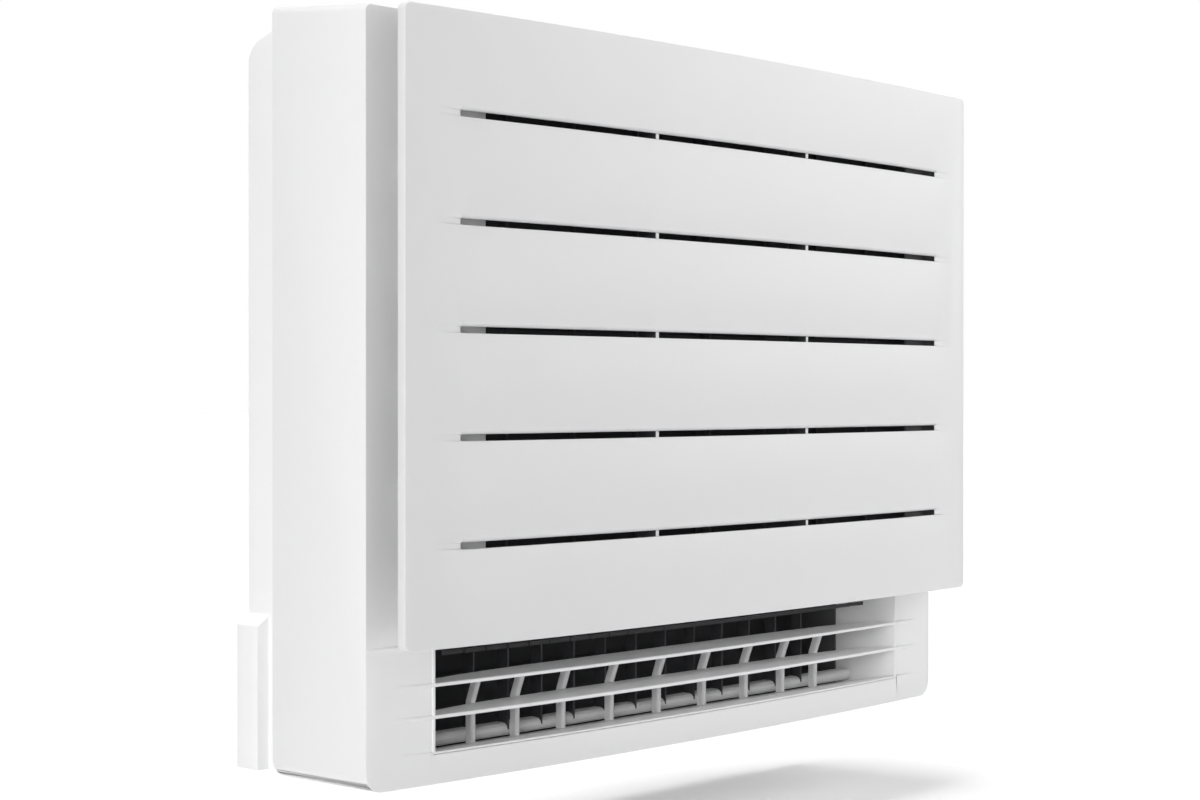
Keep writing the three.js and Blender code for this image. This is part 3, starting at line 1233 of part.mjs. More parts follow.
function bellMouth() {
  const half = PASSAGE_HALF + PASSAGE_WALL;
  const rear = BELL_FACE + BELL_PLATE;
  const plate = block(-half, half, BELL_FACE, rear, BELL_BOTTOM, BELL_TOP)
    .subtract(rodY(0, BELL_FACE - CUT, rear + CUT, FAN_CENTRE, BELL_THROAT + BELL_ROUND, BELL_SEGMENTS));
  const centre = [BELL_THROAT + BELL_ROUND, BELL_FACE + BELL_ROUND];
  const flare = arcPoints(...centre, BELL_ROUND, ANGLE_UNDER, ANGLE_BEHIND, BELL_STEPS);
  const outer = arcPoints(...centre, BELL_ROUND - BELL_WALL, ANGLE_BEHIND, ANGLE_UNDER, BELL_STEPS);
  const lip = FRAME_EDGE + BELL_LIP;
  const overlap = [BELL_THROAT + BELL_ROUND + BELL_WALL, BELL_FACE];
  return plate.add(turned([overlap, ...flare, [BELL_THROAT, lip], [BELL_THROAT + BELL_WALL, lip], ...outer,
    [overlap[0], BELL_FACE + BELL_WALL]], BELL_SEGMENTS));
}

function drainPan() {
  const front = FACE + PAN_FRONT;
  const rear = BELL_FACE - SEAT_GAP;
  const top = PAN_BOTTOM + PAN_HEIGHT;
  const right = DRAIN_PLACE + DRAIN_TUBE;
  const tray = block(-PAN_HALF, right, front, rear, PAN_BOTTOM, top)
    .subtract(block(PAN_WALL - PAN_HALF, right - PAN_WALL, front + PAN_WALL, rear - PAN_WALL,
      PAN_BOTTOM + PAN_WALL, top + CUT));
  const middle = (front + rear) / 2;
  const low = PAN_BOTTOM - DRAIN_LENGTH;
  const spout = rodZ(DRAIN_PLACE, middle, low, PAN_BOTTOM + PAN_WALL, DRAIN_TUBE, ROUND_SIDES);
  return tray.add(spout).subtract(rodZ(DRAIN_PLACE, middle, low - CUT, top, DRAIN_BORE, ROUND_SIDES));
}

// Turbo fan and its drive

const fanFront = FRAME_EDGE + FAN_FRONT;
const fanRear = motorFront() - FAN_REAR_GAP;

function shroudCurve(offset) {
  const curve = new THREE.QuadraticBezierCurve(
    new THREE.Vector2(FAN_INLET + offset, fanFront),
    new THREE.Vector2(FAN_INLET + offset, fanFront + FAN_SHROUD_DROP - offset),
    new THREE.Vector2(FAN_RADIUS, fanFront + FAN_SHROUD_DROP - offset));
  return curve.getPoints(SHROUD_STEPS).map((p) => [p.x, p.y]);
}

// Blade that leans back from its inner edge, as high as the space between back plate and shroud
function fanBlade(angle) {
  const inner = FAN_RADIUS * BLADE_INNER_SHARE;
  const outer = FAN_RADIUS - FAN_WALL / 2;
  const line = Array.from({ length: BLADE_STATIONS + 1 }, (_, i) => {
    const t = i / BLADE_STATIONS;
    const turn = angle - THREE.MathUtils.degToRad(BLADE_SWEEP_ANGLE) * t;
    const radius = inner + (outer - inner) * t;
    return new THREE.Vector2(radius * Math.cos(turn), radius * Math.sin(turn));
  });
  const sections = line.map((point, i) => {
    const before = line[Math.max(i - 1, 0)];
    const after = line[Math.min(i + 1, BLADE_STATIONS)];
    const across = after.clone().sub(before).normalize().rotateAround(new THREE.Vector2(), Math.PI / 2);
    const half = BLADE_THICKNESS / 2 * BLADE_THICKNESS_SHARES[i];
    const front = bladeFront(point.length());
    const rear = fanRear - FAN_WALL / 2;
    return [[half, front], [-half, front], [-half, rear], [half, rear]].map(([side, y]) => {
      const place = point.clone().addScaledVector(across, side);
      return [place.x, y, place.y + FAN_CENTRE];
    });
  });
  return loft(sections);
}

// Where a blade's front edge lies at a radius: in the middle of the shroud, behind the bell mouth's lip
function bladeFront(radius) {
  const lip = FRAME_EDGE + BELL_LIP + 4 * RUN_GAP;
  const t = Math.sqrt(Math.max(0, (radius - FAN_INLET - FAN_WALL) / (FAN_RADIUS - FAN_INLET - FAN_WALL)));
  const shroud = fanFront + (FAN_SHROUD_DROP - FAN_WALL / 2) * (1 - (1 - t) ** 2);
  return Math.max(lip, shroud);
}

function turboFan() {
  const shroud = [...shroudCurve(0), ...shroudCurve(FAN_WALL).reverse()];
  const hubTop = fanRear - FAN_HUB_RISE;
  const boss = FAN_BOSS;
  const bore = SHAFT_RADIUS + SEAT_GAP;
  const plate = [
    [bore, hubTop - FAN_WALL], [boss + FAN_WALL, hubTop - FAN_WALL], [FAN_HUB, fanRear - FAN_WALL],
    [FAN_RADIUS, fanRear - FAN_WALL], [FAN_RADIUS, fanRear], [FAN_HUB - FAN_WALL, fanRear],
    [boss + FAN_WALL, hubTop + FAN_WALL], [boss, hubTop + FAN_WALL],
    [boss, hubTop + FAN_BOSS_LENGTH], [bore, hubTop + FAN_BOSS_LENGTH],
  ];
  const pitch = 2 * Math.PI / BLADE_COUNT;
  const blades = Array.from({ length: BLADE_COUNT }, (_, i) => fanBlade(pitch * (i + BLADE_PHASE_SHARE)));
  return joined([turned(plate, FAN_SEGMENTS), turned(shroud, FAN_SEGMENTS), ...blades]);
}

function motorFront() {
  return BACK - FRAME_WALL - SEAT_GAP - CUSHION_THICKNESS - SEAT_GAP - MOTOR_DEPTH;
}

function fanMotor() {
  const front = motorFront();
  const rear = front + MOTOR_DEPTH;
  const bore = SHAFT_RADIUS + SEAT_GAP;
  const round = MOTOR_FLANGE_THICKNESS;
  const flange = rear - MOTOR_DEPTH / 2;
  return turned([
    [bore, front], [MOTOR_RADIUS - round, front], [MOTOR_RADIUS, front + round], [MOTOR_RADIUS, flange],
    [MOTOR_FLANGE, flange], [MOTOR_FLANGE, flange + MOTOR_FLANGE_THICKNESS],
    [MOTOR_RADIUS, flange + MOTOR_FLANGE_THICKNESS],
    [MOTOR_RADIUS, rear], [bore, rear],
  ], MOTOR_SEGMENTS);
}

function motorCushion() {
  const rear = BACK - FRAME_WALL - SEAT_GAP;
  const front = rear - CUSHION_THICKNESS;
  const ring = [[CUSHION_BORE, front], [MOTOR_RADIUS, front], [MOTOR_RADIUS, rear], [CUSHION_BORE, rear]];
  return turned(ring, MOTOR_SEGMENTS);
}

function fanShaft() {
  const nose = fanRear - FAN_HUB_RISE - FAN_WALL - SHAFT_NOSE;
  return rodY(0, nose, motorFront() + SHAFT_TAIL, FAN_CENTRE, SHAFT_RADIUS, ROUND_SIDES);
}

function fanNut() {
  const rear = fanRear - FAN_HUB_RISE - FAN_WALL - SEAT_GAP;
  return rodY(0, rear - FAN_NUT_HEIGHT, rear, FAN_CENTRE, FAN_NUT, NUT_SIDES)
    .subtract(rodY(0, rear - FAN_NUT_HEIGHT - CUT, rear + CUT, FAN_CENTRE, SHAFT_RADIUS + SEAT_GAP, ROUND_SIDES));
}

// Electrical parts

const boxFront = FACE + BOX_FRONT;
const boxRear = FRAME_EDGE - SEAT_GAP;

function controlBox() {
  const x1 = BOX_INNER_SIDE + BOX_WIDTH;
  return block(BOX_INNER_SIDE, x1, boxFront, boxRear, BOX_BOTTOM, BOX_TOP).subtract(block(
    BOX_INNER_SIDE + BOX_WALL, x1 - BOX_WALL, boxFront - CUT, boxRear - BOX_WALL,
    BOX_BOTTOM + BOX_WALL, BOX_TOP - BOX_WALL));
}

function controlCover() {
  const x1 = BOX_INNER_SIDE + BOX_WIDTH;
  const rear = boxFront - SEAT_GAP;
  const plate = block(BOX_INNER_SIDE, x1, rear - COVER_THICKNESS, rear, BOX_BOTTOM, BOX_TOP);
  const inset = BOX_WALL + SEAT_GAP;
  const lip = block(
    BOX_INNER_SIDE + inset, x1 - inset, rear - COVER_THICKNESS / 2, boxFront + BOX_WALL,
    BOX_BOTTOM + inset, BOX_TOP - inset);
  const hollow = block(
    BOX_INNER_SIDE + 2 * inset, x1 - 2 * inset, rear, boxFront + BOX_WALL + CUT,
    BOX_BOTTOM + 2 * inset, BOX_TOP - 2 * inset);
  return plate.add(lip.subtract(hollow));
}

function controlBoard() {
  const x0 = BOX_INNER_SIDE + BOARD_MARGIN;
  const x1 = BOX_INNER_SIDE + BOX_WIDTH - BOARD_MARGIN;
  const z0 = BOX_BOTTOM + BOARD_MARGIN;
  const z1 = BOX_TOP - BOARD_MARGIN;
  const rear = boxRear - BOX_WALL - SEAT_GAP;
  const parts = BOARD_PARTS.map(([across, up, size, height]) => {
    const x = x0 + (x1 - x0) * across;
    const z = z0 + (z1 - z0) * up;
    return block(
      x - size / 2, x + size / 2, rear - BOARD_THICKNESS - height, rear - BOARD_THICKNESS / 2,
      z - size / 2, z + size / 2);
  });
  return joined([block(x0, x1, rear - BOARD_THICKNESS, rear, z0, z1), ...parts]);
}

function terminalBlock() {
  const top = BOX_BOTTOM - SEAT_GAP;
  const low = top - TERMINAL_HEIGHT;
  const rear = boxRear;
  const front = rear - TERMINAL_DEPTH;
  const x1 = BOX_INNER_SIDE + BOX_WIDTH;
  const pitch = (BOX_WIDTH - TERMINAL_WALL) / TERMINAL_COUNT;
  const ways = Array.from({ length: TERMINAL_COUNT }, (_, i) => {
    const x = BOX_INNER_SIDE + TERMINAL_WALL + i * pitch;
    return block(x, x + pitch - TERMINAL_WALL, front - CUT, rear - TERMINAL_DEPTH / 2, low + TERMINAL_HEIGHT / 3, top + CUT);
  });
  return cut(block(BOX_INNER_SIDE, x1, front, rear, low, top), ways);
}

// Display module under the casing's top, with its lens and button

function underTop(y0, y1, x0, x1, low) {
  const lift = CASING_WALL + SEAT_GAP;
  return prismX([[y0, low], [y1, low], [y1, topAt(y1) - lift], [y0, topAt(y0) - lift]], x0, x1);
}

function displayModule() {
  const front = FACE + DISPLAY_SETBACK;
  const low = topAt(front) - CASING_WALL - SEAT_GAP - DISPLAY_DROP;
  const body = underTop(front, front + DISPLAY_LENGTH, DISPLAY_PLACE - DISPLAY_HALF, DISPLAY_PLACE + DISPLAY_HALF, low);
  const lensBed = block(DISPLAY_PLACE - LENS_HALF - SEAT_GAP, DISPLAY_PLACE + LENS_HALF + SEAT_GAP,
    lensFront() - SEAT_GAP, lensFront() + LENS_LENGTH + SEAT_GAP, low + DISPLAY_DROP / 2, HEIGHT);
  const well = rodZ(DISPLAY_PLACE, front + BUTTON_SETBACK, low + BOARD_THICKNESS, HEIGHT, BUTTON_RADIUS + SEAT_GAP, ROUND_SIDES);
  return cut(body, [lensBed, well]);
}

function displayLens() {
  const front = lensFront();
  const rear = front + LENS_LENGTH;
  const low = topAt(FACE + DISPLAY_SETBACK) - CASING_WALL - DISPLAY_DROP / 2;
  const side = [[front, low], [rear, low], [rear, topAt(rear)], [front, topAt(front)]];
  return prismX(side, DISPLAY_PLACE - LENS_HALF, DISPLAY_PLACE + LENS_HALF);
}

function powerButton() {
  const y = FACE + DISPLAY_SETBACK + BUTTON_SETBACK;
  const top = topAt(y) + BUTTON_TRAVEL / 2;
  return rodZ(DISPLAY_PLACE, y, top - BUTTON_HEIGHT, top, BUTTON_RADIUS, ROUND_SIDES);
}

function switchBase() {
  const [width, depth, height] = SWITCH_BASE;
  const front = FACE + CASING_WALL + SEAT_GAP;
  const [knobWidth, knobDepth, knobHeight] = SWITCH_KNOB;
  const body = block(
    SWITCH_PLACE - width / 2, SWITCH_PLACE + width / 2, front, front + depth,
    SWITCH_MIDDLE - height / 2, SWITCH_MIDDLE + height / 2);
  return body.subtract(block(
    SWITCH_PLACE - knobWidth / 2 - SEAT_GAP, SWITCH_PLACE + knobWidth / 2 + SEAT_GAP, front - CUT, front + depth / 2,
    SWITCH_HEIGHT - knobHeight / 2 - RUN_GAP, SWITCH_HEIGHT + knobHeight / 2 + SWITCH_TRAVEL + RUN_GAP));
}

function switchKnob() {
  const [width, depth, height] = SWITCH_KNOB;
  const rear = FACE + CASING_WALL + SEAT_GAP + SWITCH_BASE[1] / 2 - SEAT_GAP;
  return block(
    SWITCH_PLACE - width / 2, SWITCH_PLACE + width / 2, rear - depth, rear,
    SWITCH_HEIGHT - height / 2, SWITCH_HEIGHT + height / 2);
}

// Materials

const finish = (color, roughness, metalness) => (
  new THREE.MeshStandardMaterial({ color, roughness, metalness, flatShading: true }));
const plastic = (color, roughness) => finish(color, roughness, 0);
const metal = (color, roughness) => finish(color, roughness, 1);
const white = () => plastic('#e9eaec', 0.45);
const pale = () => plastic('#d4d6d8', 0.55);
const dark = () => plastic('#26282b', 0.6);
const grey = () => plastic('#7d8185', 0.55);
const rubber = () => plastic('#1c1c1d', 0.85);
const aluminium = () => metal('#b9bdc1', 0.4);
const steel = () => metal('#9da0a4', 0.35);
const copper = () => metal('#b87350', 0.3);
const brass = () => metal('#c6a45a', 0.3);
const board = () => plastic('#2f6b46', 0.5);
const glass = () => plastic('#33373c', 0.15);

const unit = new THREE.Group();

function piece(name, shape, material) {
  const mesh = new THREE.Mesh(geometryOf(shape), material);
  mesh.name = name;
  unit.add(mesh);
}

const places = bladePlaces();
const leftPlaces = places.slice(0, GROUP_BLADE_COUNT);
const rightPlaces = places.slice(GROUP_BLADE_COUNT);
const damperAxis = damperPivot();
const flapAxis = flapPivot();
const motorSide = PASSAGE_HALF + PASSAGE_WALL + SEAT_GAP;

piece('front_panel', frontPanel(), white());
piece('front_casing', frontCasing(), white());
piece('rear_frame', rearFrame(), white());
piece('intake_frame', intakeFrame(), pale());
piece('air_filter_right', airFilter(), dark());
piece('air_filter_left', mirrored(airFilter()), dark());
piece('purifying_filter_right', purifyingFilter(), dark());
piece('purifying_filter_left', mirrored(purifyingFilter()), dark());
piece('panel_catch_right', panelCatch(), pale());
piece('panel_catch_left', mirrored(panelCatch()), pale());
piece('lower_grille', lowerGrille(), white());
piece('lower_vanes', vaneComb(), dark());
piece('lower_damper', lowerDamper(), pale());
piece('lower_damper_motor', gearMotor(DAMPER_MOTOR, motorSide, damperAxis.y + DAMPER_MOTOR[1] / 4,
  damperAxis.z + DAMPER_MOTOR[2] / 4), grey());
piece('upper_outlet_frame', outletFrame(), pale());
piece('upper_flap', upperFlap(), white());
piece('upper_flap_motor', gearMotor(FLAP_MOTOR, motorSide, flapAxis.y, flapAxis.z + FLAP_PIN - FLAP_MOTOR[2] / 2), grey());
places.forEach((x, i) => piece(`upper_blade_${i + 1}`, uprightBlade(x), pale()));
piece('blade_link_left', bladeLink(leftPlaces), grey());
piece('blade_link_right', bladeLink(rightPlaces), grey());
piece('coil_fins', finPack(), aluminium());
piece('coil_end_right', joined([endPlate(), ...returnBends()]), steel());
piece('coil_end_left', mirrored(endPlate()), steel());
piece('gas_pipe', pipeRun(GAS_RUN, GAS_PIPE), copper());
piece('liquid_pipe', pipeRun(LIQUID_RUN, LIQUID_PIPE), copper());
piece('gas_flare_nut', flareNut(GAS_RUN, GAS_PIPE), brass());
piece('liquid_flare_nut', flareNut(LIQUID_RUN, LIQUID_PIPE), brass());
piece('drain_pan', drainPan(), grey());
piece('bell_mouth', bellMouth(), grey());
piece('turbo_fan', turboFan(), grey());
piece('fan_shaft', fanShaft(), steel());
piece('fan_nut', fanNut(), steel());
piece('fan_motor', fanMotor(), steel());
piece('motor_cushion', motorCushion(), rubber());
piece('control_box', controlBox(), steel());
piece('control_cover', controlCover(), steel());
piece('control_board', controlBoard(), board());
piece('terminal_block', terminalBlock(), dark());
piece('display_module', displayModule(), pale());
piece('display_lens', displayLens(), glass());
piece('power_button', powerButton(), pale());
piece('outlet_switch_base', switchBase(), dark());
piece('outlet_switch', switchKnob(), pale());

export default unit;
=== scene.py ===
"""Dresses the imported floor-and-ceiling air conditioner.

Each solid gets a copy with rounded edges and a procedural finish. Floor, light and camera follow.
Lengths are in metres and angles in degrees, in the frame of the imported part.
"""

import json
import math
from itertools import product

import bmesh
import bpy
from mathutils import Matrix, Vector

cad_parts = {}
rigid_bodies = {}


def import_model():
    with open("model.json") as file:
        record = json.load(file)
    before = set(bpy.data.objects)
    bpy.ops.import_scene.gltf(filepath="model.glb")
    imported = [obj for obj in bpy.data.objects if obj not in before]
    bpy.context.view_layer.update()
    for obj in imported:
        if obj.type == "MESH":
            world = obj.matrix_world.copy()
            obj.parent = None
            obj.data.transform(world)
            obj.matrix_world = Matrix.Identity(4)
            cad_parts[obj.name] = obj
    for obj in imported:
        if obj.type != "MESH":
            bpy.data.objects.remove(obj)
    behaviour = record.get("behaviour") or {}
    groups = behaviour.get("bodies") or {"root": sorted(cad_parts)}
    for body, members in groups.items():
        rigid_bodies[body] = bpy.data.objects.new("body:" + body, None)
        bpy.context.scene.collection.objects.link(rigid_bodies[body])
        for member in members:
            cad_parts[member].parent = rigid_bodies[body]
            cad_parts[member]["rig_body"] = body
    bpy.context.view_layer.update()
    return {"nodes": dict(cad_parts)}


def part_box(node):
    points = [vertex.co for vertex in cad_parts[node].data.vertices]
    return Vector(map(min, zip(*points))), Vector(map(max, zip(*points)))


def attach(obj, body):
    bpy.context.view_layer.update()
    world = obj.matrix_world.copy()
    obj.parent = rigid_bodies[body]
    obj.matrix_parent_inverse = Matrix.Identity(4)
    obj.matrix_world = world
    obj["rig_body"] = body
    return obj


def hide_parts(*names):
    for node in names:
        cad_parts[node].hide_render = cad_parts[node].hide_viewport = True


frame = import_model()
NODES = frame["nodes"]
MM = 0.001

# Camera, fitted to the photograph; its lens and sensor are in millimetres
CAMERA_PLACE = Vector((-1.49437, -1.30354, 0.30082))
CAMERA_YAW = 48.02
CAMERA_PITCH = -0.211
CAMERA_LENS = 66.98
SENSOR_WIDTH = 36.0

# Floor: the unit hangs this far above it, as its shadow in the photograph says; its glow is only seen, and
# doesn't light the unit
FLOOR_DROP = 0.087
FLOOR_SIZE = 60.0
FLOOR_GLOW = 0.34
FLOOR_ROUGHNESS = 0.9
FLOOR_MOTTLE = 0.5
FLOOR_COLOURS = ((0.95, 0.95, 0.95), (0.94, 0.94, 0.94))

# Light: two soft suns, each with its direction, strength and angle, a square lamp in watts, and the sky's
# light on the unit
SIDE_SUN = ((0.90, 0.42, -0.06), 2.2, 40)
TOP_SUN = ((0.15, -0.03, -0.99), 1.75, 22)
LAMP_PLACE = (1.4, -1.25, 1.0)
LAMP_TARGET = (0.25, -0.1, 0.35)
LAMP_SIZE = 1.2
LAMP_POWER = 9.8
SKY_STRENGTH = 0.12
WHITE_LIGHT = (1, 1, 1, 1)

# Moulded plastic: scales of mottling and gloss, in cycles per metre, detail of the grain, play of the gloss
MOTTLE_SCALE = 9.0
GLOSS_SCALE = 60.0
GRAIN_DETAIL = 3.0
GLOSS_PLAY = 0.04

# Bare metal: scales of tone, gloss and drawn surface, their detail, play of the gloss, depth of the surface
TONE_SCALE = 35.0
SHEEN_SCALE = 120.0
DRAWN_SCALE = 400.0
METAL_DETAIL = 4.0
SHEEN_PLAY = 0.08
DRAWN_DEPTH = 0.01 * MM

# Nets: softness of a thread's edge, height of the threads, roughness
THREAD_SOFTNESS = 0.3
THREAD_HEIGHT = 0.3 * MM
NET_ROUGHNESS = 0.6

# Copies of solids: corners this close are merged and edges flatter than the first angle dissolved, while
# edges sharper than the second are rounded in these steps
MERGE_DISTANCE = 2e-6
FLAT_ANGLE = 0.5
EDGE_ANGLE = 28
EDGE_STEPS = 3

# Bent tubes: edges sharper than this are rims, and the wall is subdivided this often
RIM_ANGLE = 70
TUBE_LEVELS = 2

# A face looks along an axis, or leans that way, from these shares of its normal
FACING = 0.9
LEANING = 0.5

# Corners of a box's sides, wound outwards, for corners counted up in z, then y, then x
BOX_SIDES = ((0, 1, 3, 2), (4, 6, 7, 5), (0, 4, 5, 1), (2, 3, 7, 6), (0, 2, 6, 4), (1, 5, 7, 3))

# The bowed front: its foremost depth, its fall towards the ends and its half width
BOW_FRONT = -0.0775
BOW_DEPTH = 0.016
BOW_HALF = 0.375

# Panel: faces up to this far in front of the bow, within the slots' half width, are inside a slot and
# painted dark as shade; the land at the slots' right end, painted the same, lies between two places
PANEL_ROUND = 0.9 * MM
SLOT_REACH = 39 * MM
SLOT_HALF = 330 * MM
LAND_START = 281 * MM
LAND_END = 312 * MM

# Painted shade: dark strips behind the slots' ends
SLOT_COUNT = 5
SLOT_FIRST = 185 * MM
SLOT_PITCH = 81.2 * MM
STRIP_INNER = 312 * MM
STRIP_OUTER = 337 * MM
STRIP_FRONT = -94.2 * MM
STRIP_HALF = 7 * MM
STRIP_THICKNESS = 1 * MM

# Casing: the part of it that rims the lower outlet
CASING_ROUND = 0.8 * MM
MOUTH_HALF = 312 * MM
MOUTH_LOW = 11 * MM
MOUTH_HIGH = 106 * MM
MOUTH_BACK = -55 * MM

# Grille: its sleeve's rim, which is spread to close the seam, and its rails and ribs
GRILLE_ROUND = 0.9 * MM
SLEEVE_HALF = 309.5 * MM
SLEEVE_LOW = 12.5 * MM
SLEEVE_HIGH = 104.5 * MM
SLEEVE_RIM = -50 * MM
SEAM_SPREAD = 0.25 * MM
RAIL_HALF = 296 * MM
RAILS_LOW = 20 * MM
RAILS_HIGH = 97 * MM
RAIL_NOSE = 8 * MM
RIB_SHARE = 0.45

# Painted shade: a dark strip along the outlet's upper edge, where a dark gap shows
GAP_START = -300 * MM
GAP_END = 252 * MM
GAP_STEPS = 24
GAP_SETBACK = 2 * MM
GAP_DEPTH = 1.5 * MM
GAP_LOW = 98.2 * MM
GAP_HIGH = 101.4 * MM

# Vanes and damper: the vanes' white foot and the damper's pale bead, behind which shade is painted, end
# here
VANE_ROUND = 0.25 * MM
VANE_FOOT = 29 * MM
DAMPER_ROUND = 0.4 * MM
DAMPER_BEAD = 10 * MM

# Rear frame: the air passage in it, painted dark as shade, and the back wall that ends the passage
FRAME_ROUND = 1.2 * MM
PASSAGE_HALF = 301 * MM
PASSAGE_LOW = 11.5 * MM
PASSAGE_HIGH = 575 * MM
PASSAGE_REACH = 107 * MM
PASSAGE_BACK = 117.5 * MM

# Upper blades: number, edge radius, and the height that the foot and the pins' ends lie below
BLADE_COUNT = 8
BLADE_ROUND = 0.4 * MM
BLADE_FOOT = 551 * MM

# Intake frame and filters: the frame's pale border; an air filter's net is this close to its back, and a
# purifying filter's cells are this close to its front
INTAKE_ROUND = 0.4 * MM
INTAKE_BORDER = 4 * MM
FILTER_ROUND = 0.3 * MM
NET_DEPTH = 1.2 * MM
CELL_DEPTH = 2.5 * MM

# Coil: its fins, and its end plates; what stands beyond their faces, in front of a depth, is bare copper
FIN_PITCH = 2 * MM
FIN_THICKNESS = 0.16 * MM
PLATE_ROUND = 0.2 * MM
PLATE_FACE = 272.3 * MM
BEND_BACK = -14 * MM

# Board and terminal block: the bare board's thickness and the depth of the block's ways
BOARD_ROUND = 0.3 * MM
BOARD_THICKNESS = 2.4 * MM
BLOCK_ROUND = 0.4 * MM
WAY_DEPTH = 4 * MM


# Materials

def shader(name):
    """A new node material with its tree and its Principled shader."""
    material = bpy.data.materials.new(name)
    material.use_nodes = True
    tree = material.node_tree
    return material, tree, tree.nodes["Principled BSDF"]


def node(tree, kind, **values):
    """A new node; inputs are set by name, and the node's own options by their attribute."""
    made = tree.nodes.new(kind)
    for name, value in values.items():
        if hasattr(made, name):
            setattr(made, name, value)
        else:
            made.inputs[name.replace("_", " ")].default_value = value
    return made


def noise(tree, scale, detail=2.0, stretch=None):
    """Fractal noise over the object's own coordinates, drawn out along an axis if asked."""
    where = node(tree, "ShaderNodeTexCoord").outputs["Object"]
    if stretch is not None:
        drawn = node(tree, "ShaderNodeMapping", Scale=stretch)
        tree.links.new(where, drawn.inputs["Vector"])
        where = drawn.outputs["Vector"]
    made = node(tree, "ShaderNodeTexNoise", Scale=scale, Detail=detail)
    tree.links.new(where, made.inputs["Vector"])
    return made.outputs["Fac"]


def spread(tree, source, low, high):
    """Maps a value from 0..1 to low..high."""
    made = node(tree, "ShaderNodeMapRange", To_Min=low, To_Max=high)
    tree.links.new(source, made.inputs["Value"])
    return made.outputs["Result"]


def blend_colours(tree, source, first, second):
    """Mixes two colours by a value."""
    made = node(tree, "ShaderNodeMix", data_type="RGBA")
    made.inputs["A"].default_value = (*first, 1)
    made.inputs["B"].default_value = (*second, 1)
    tree.links.new(source, made.inputs["Factor"])
    return made.outputs["Result"]


def bump(tree, source, depth):
    """A bump of that depth in metres."""
    made = node(tree, "ShaderNodeBump", Distance=depth)
    tree.links.new(source, made.inputs["Height"])
    return made.outputs["Normal"]


def darker(colour, share):
    """A colour with that share of its light taken away."""
    return tuple(part * (1 - share) for part in colour)


def plastic(name, colour, roughness, grain=2600.0, depth=0.012 * MM, tint=0.012):
    """Moulded plastic: faint mottling, spark-eroded grain and uneven gloss."""
    material, tree, principled = shader(name)
    tone = blend_colours(tree, noise(tree, MOTTLE_SCALE), colour, darker(colour, tint))
    gloss = spread(tree, noise(tree, GLOSS_SCALE), roughness - GLOSS_PLAY, roughness + GLOSS_PLAY)
    tree.links.new(tone, principled.inputs["Base Color"])
    tree.links.new(gloss, principled.inputs["Roughness"])
    tree.links.new(bump(tree, noise(tree, grain, GRAIN_DETAIL), depth), principled.inputs["Normal"])
    return material


def metal(name, colour, roughness, stretch=None, tint=0.14):
    """Bare metal with streaked tone and a finely drawn surface."""
    material, tree, principled = shader(name)
    principled.inputs["Metallic"].default_value = 1.0
    streaks = noise(tree, TONE_SCALE, METAL_DETAIL, stretch)
    tone = blend_colours(tree, streaks, colour, darker(colour, tint))
    sheen = noise(tree, SHEEN_SCALE, stretch=stretch)
    gloss = spread(tree, sheen, roughness - SHEEN_PLAY, roughness + SHEEN_PLAY)
    surface = bump(tree, noise(tree, DRAWN_SCALE, METAL_DETAIL, stretch), DRAWN_DEPTH)
    tree.links.new(tone, principled.inputs["Base Color"])
    tree.links.new(gloss, principled.inputs["Roughness"])
    tree.links.new(surface, principled.inputs["Normal"])
    return material


def woven(name, thread, gap, pitch, share):
    """A square net: threads over gaps, in the object's upright plane."""
    material, tree, principled = shader(name)
    where = node(tree, "ShaderNodeSeparateXYZ")
    tree.links.new(node(tree, "ShaderNodeTexCoord").outputs["Object"], where.inputs["Vector"])
    flat = node(tree, "ShaderNodeCombineXYZ")
    tree.links.new(where.outputs["X"], flat.inputs["X"])
    tree.links.new(where.outputs["Z"], flat.inputs["Y"])
    cells = node(
        tree, "ShaderNodeTexBrick", offset=0.0, squash=1.0, Scale=1.0, Brick_Width=pitch, Row_Height=pitch,
        Mortar_Size=pitch * share / 2, Mortar_Smooth=THREAD_SOFTNESS,
        Color1=(*gap, 1), Color2=(*gap, 1), Mortar=(*thread, 1))
    tree.links.new(flat.outputs["Vector"], cells.inputs["Vector"])
    tree.links.new(cells.outputs["Color"], principled.inputs["Base Color"])
    tree.links.new(bump(tree, cells.outputs["Fac"], THREAD_HEIGHT), principled.inputs["Normal"])
    principled.inputs["Roughness"].default_value = NET_ROUGHNESS
    return material


# Panel, casing, grille and frame are one white plastic; the casing's and grille's lighter tone is painted
# light, the frame's more so
WHITE = plastic("white panel plastic", (0.83, 0.83, 0.835), 0.40)
PAINTED_LIGHT_WHITE = plastic("cabinet white with painted light", (0.91, 0.91, 0.912), 0.42)
PAINTED_LIGHTEST_WHITE = plastic("frame white with more painted light", (0.97, 0.97, 0.97), 0.45)
PALE = plastic("pale plastic", (0.72, 0.725, 0.735), 0.5)
GREY = plastic("grey plastic", (0.20, 0.21, 0.22), 0.5)
# Dark plastic, also used as painted shade in the panel's slots and behind their ends
DARK_PLASTIC_AND_SHADE = plastic("dark plastic and painted shade", (0.045, 0.046, 0.05), 0.5)
# Dark shade painted deep inside the air passage and on the damper's upper side
DEEP_SHADE = plastic("painted deep shade", (0.10, 0.102, 0.106), 0.9, grain=900.0, depth=0.2 * MM, tint=0.3)
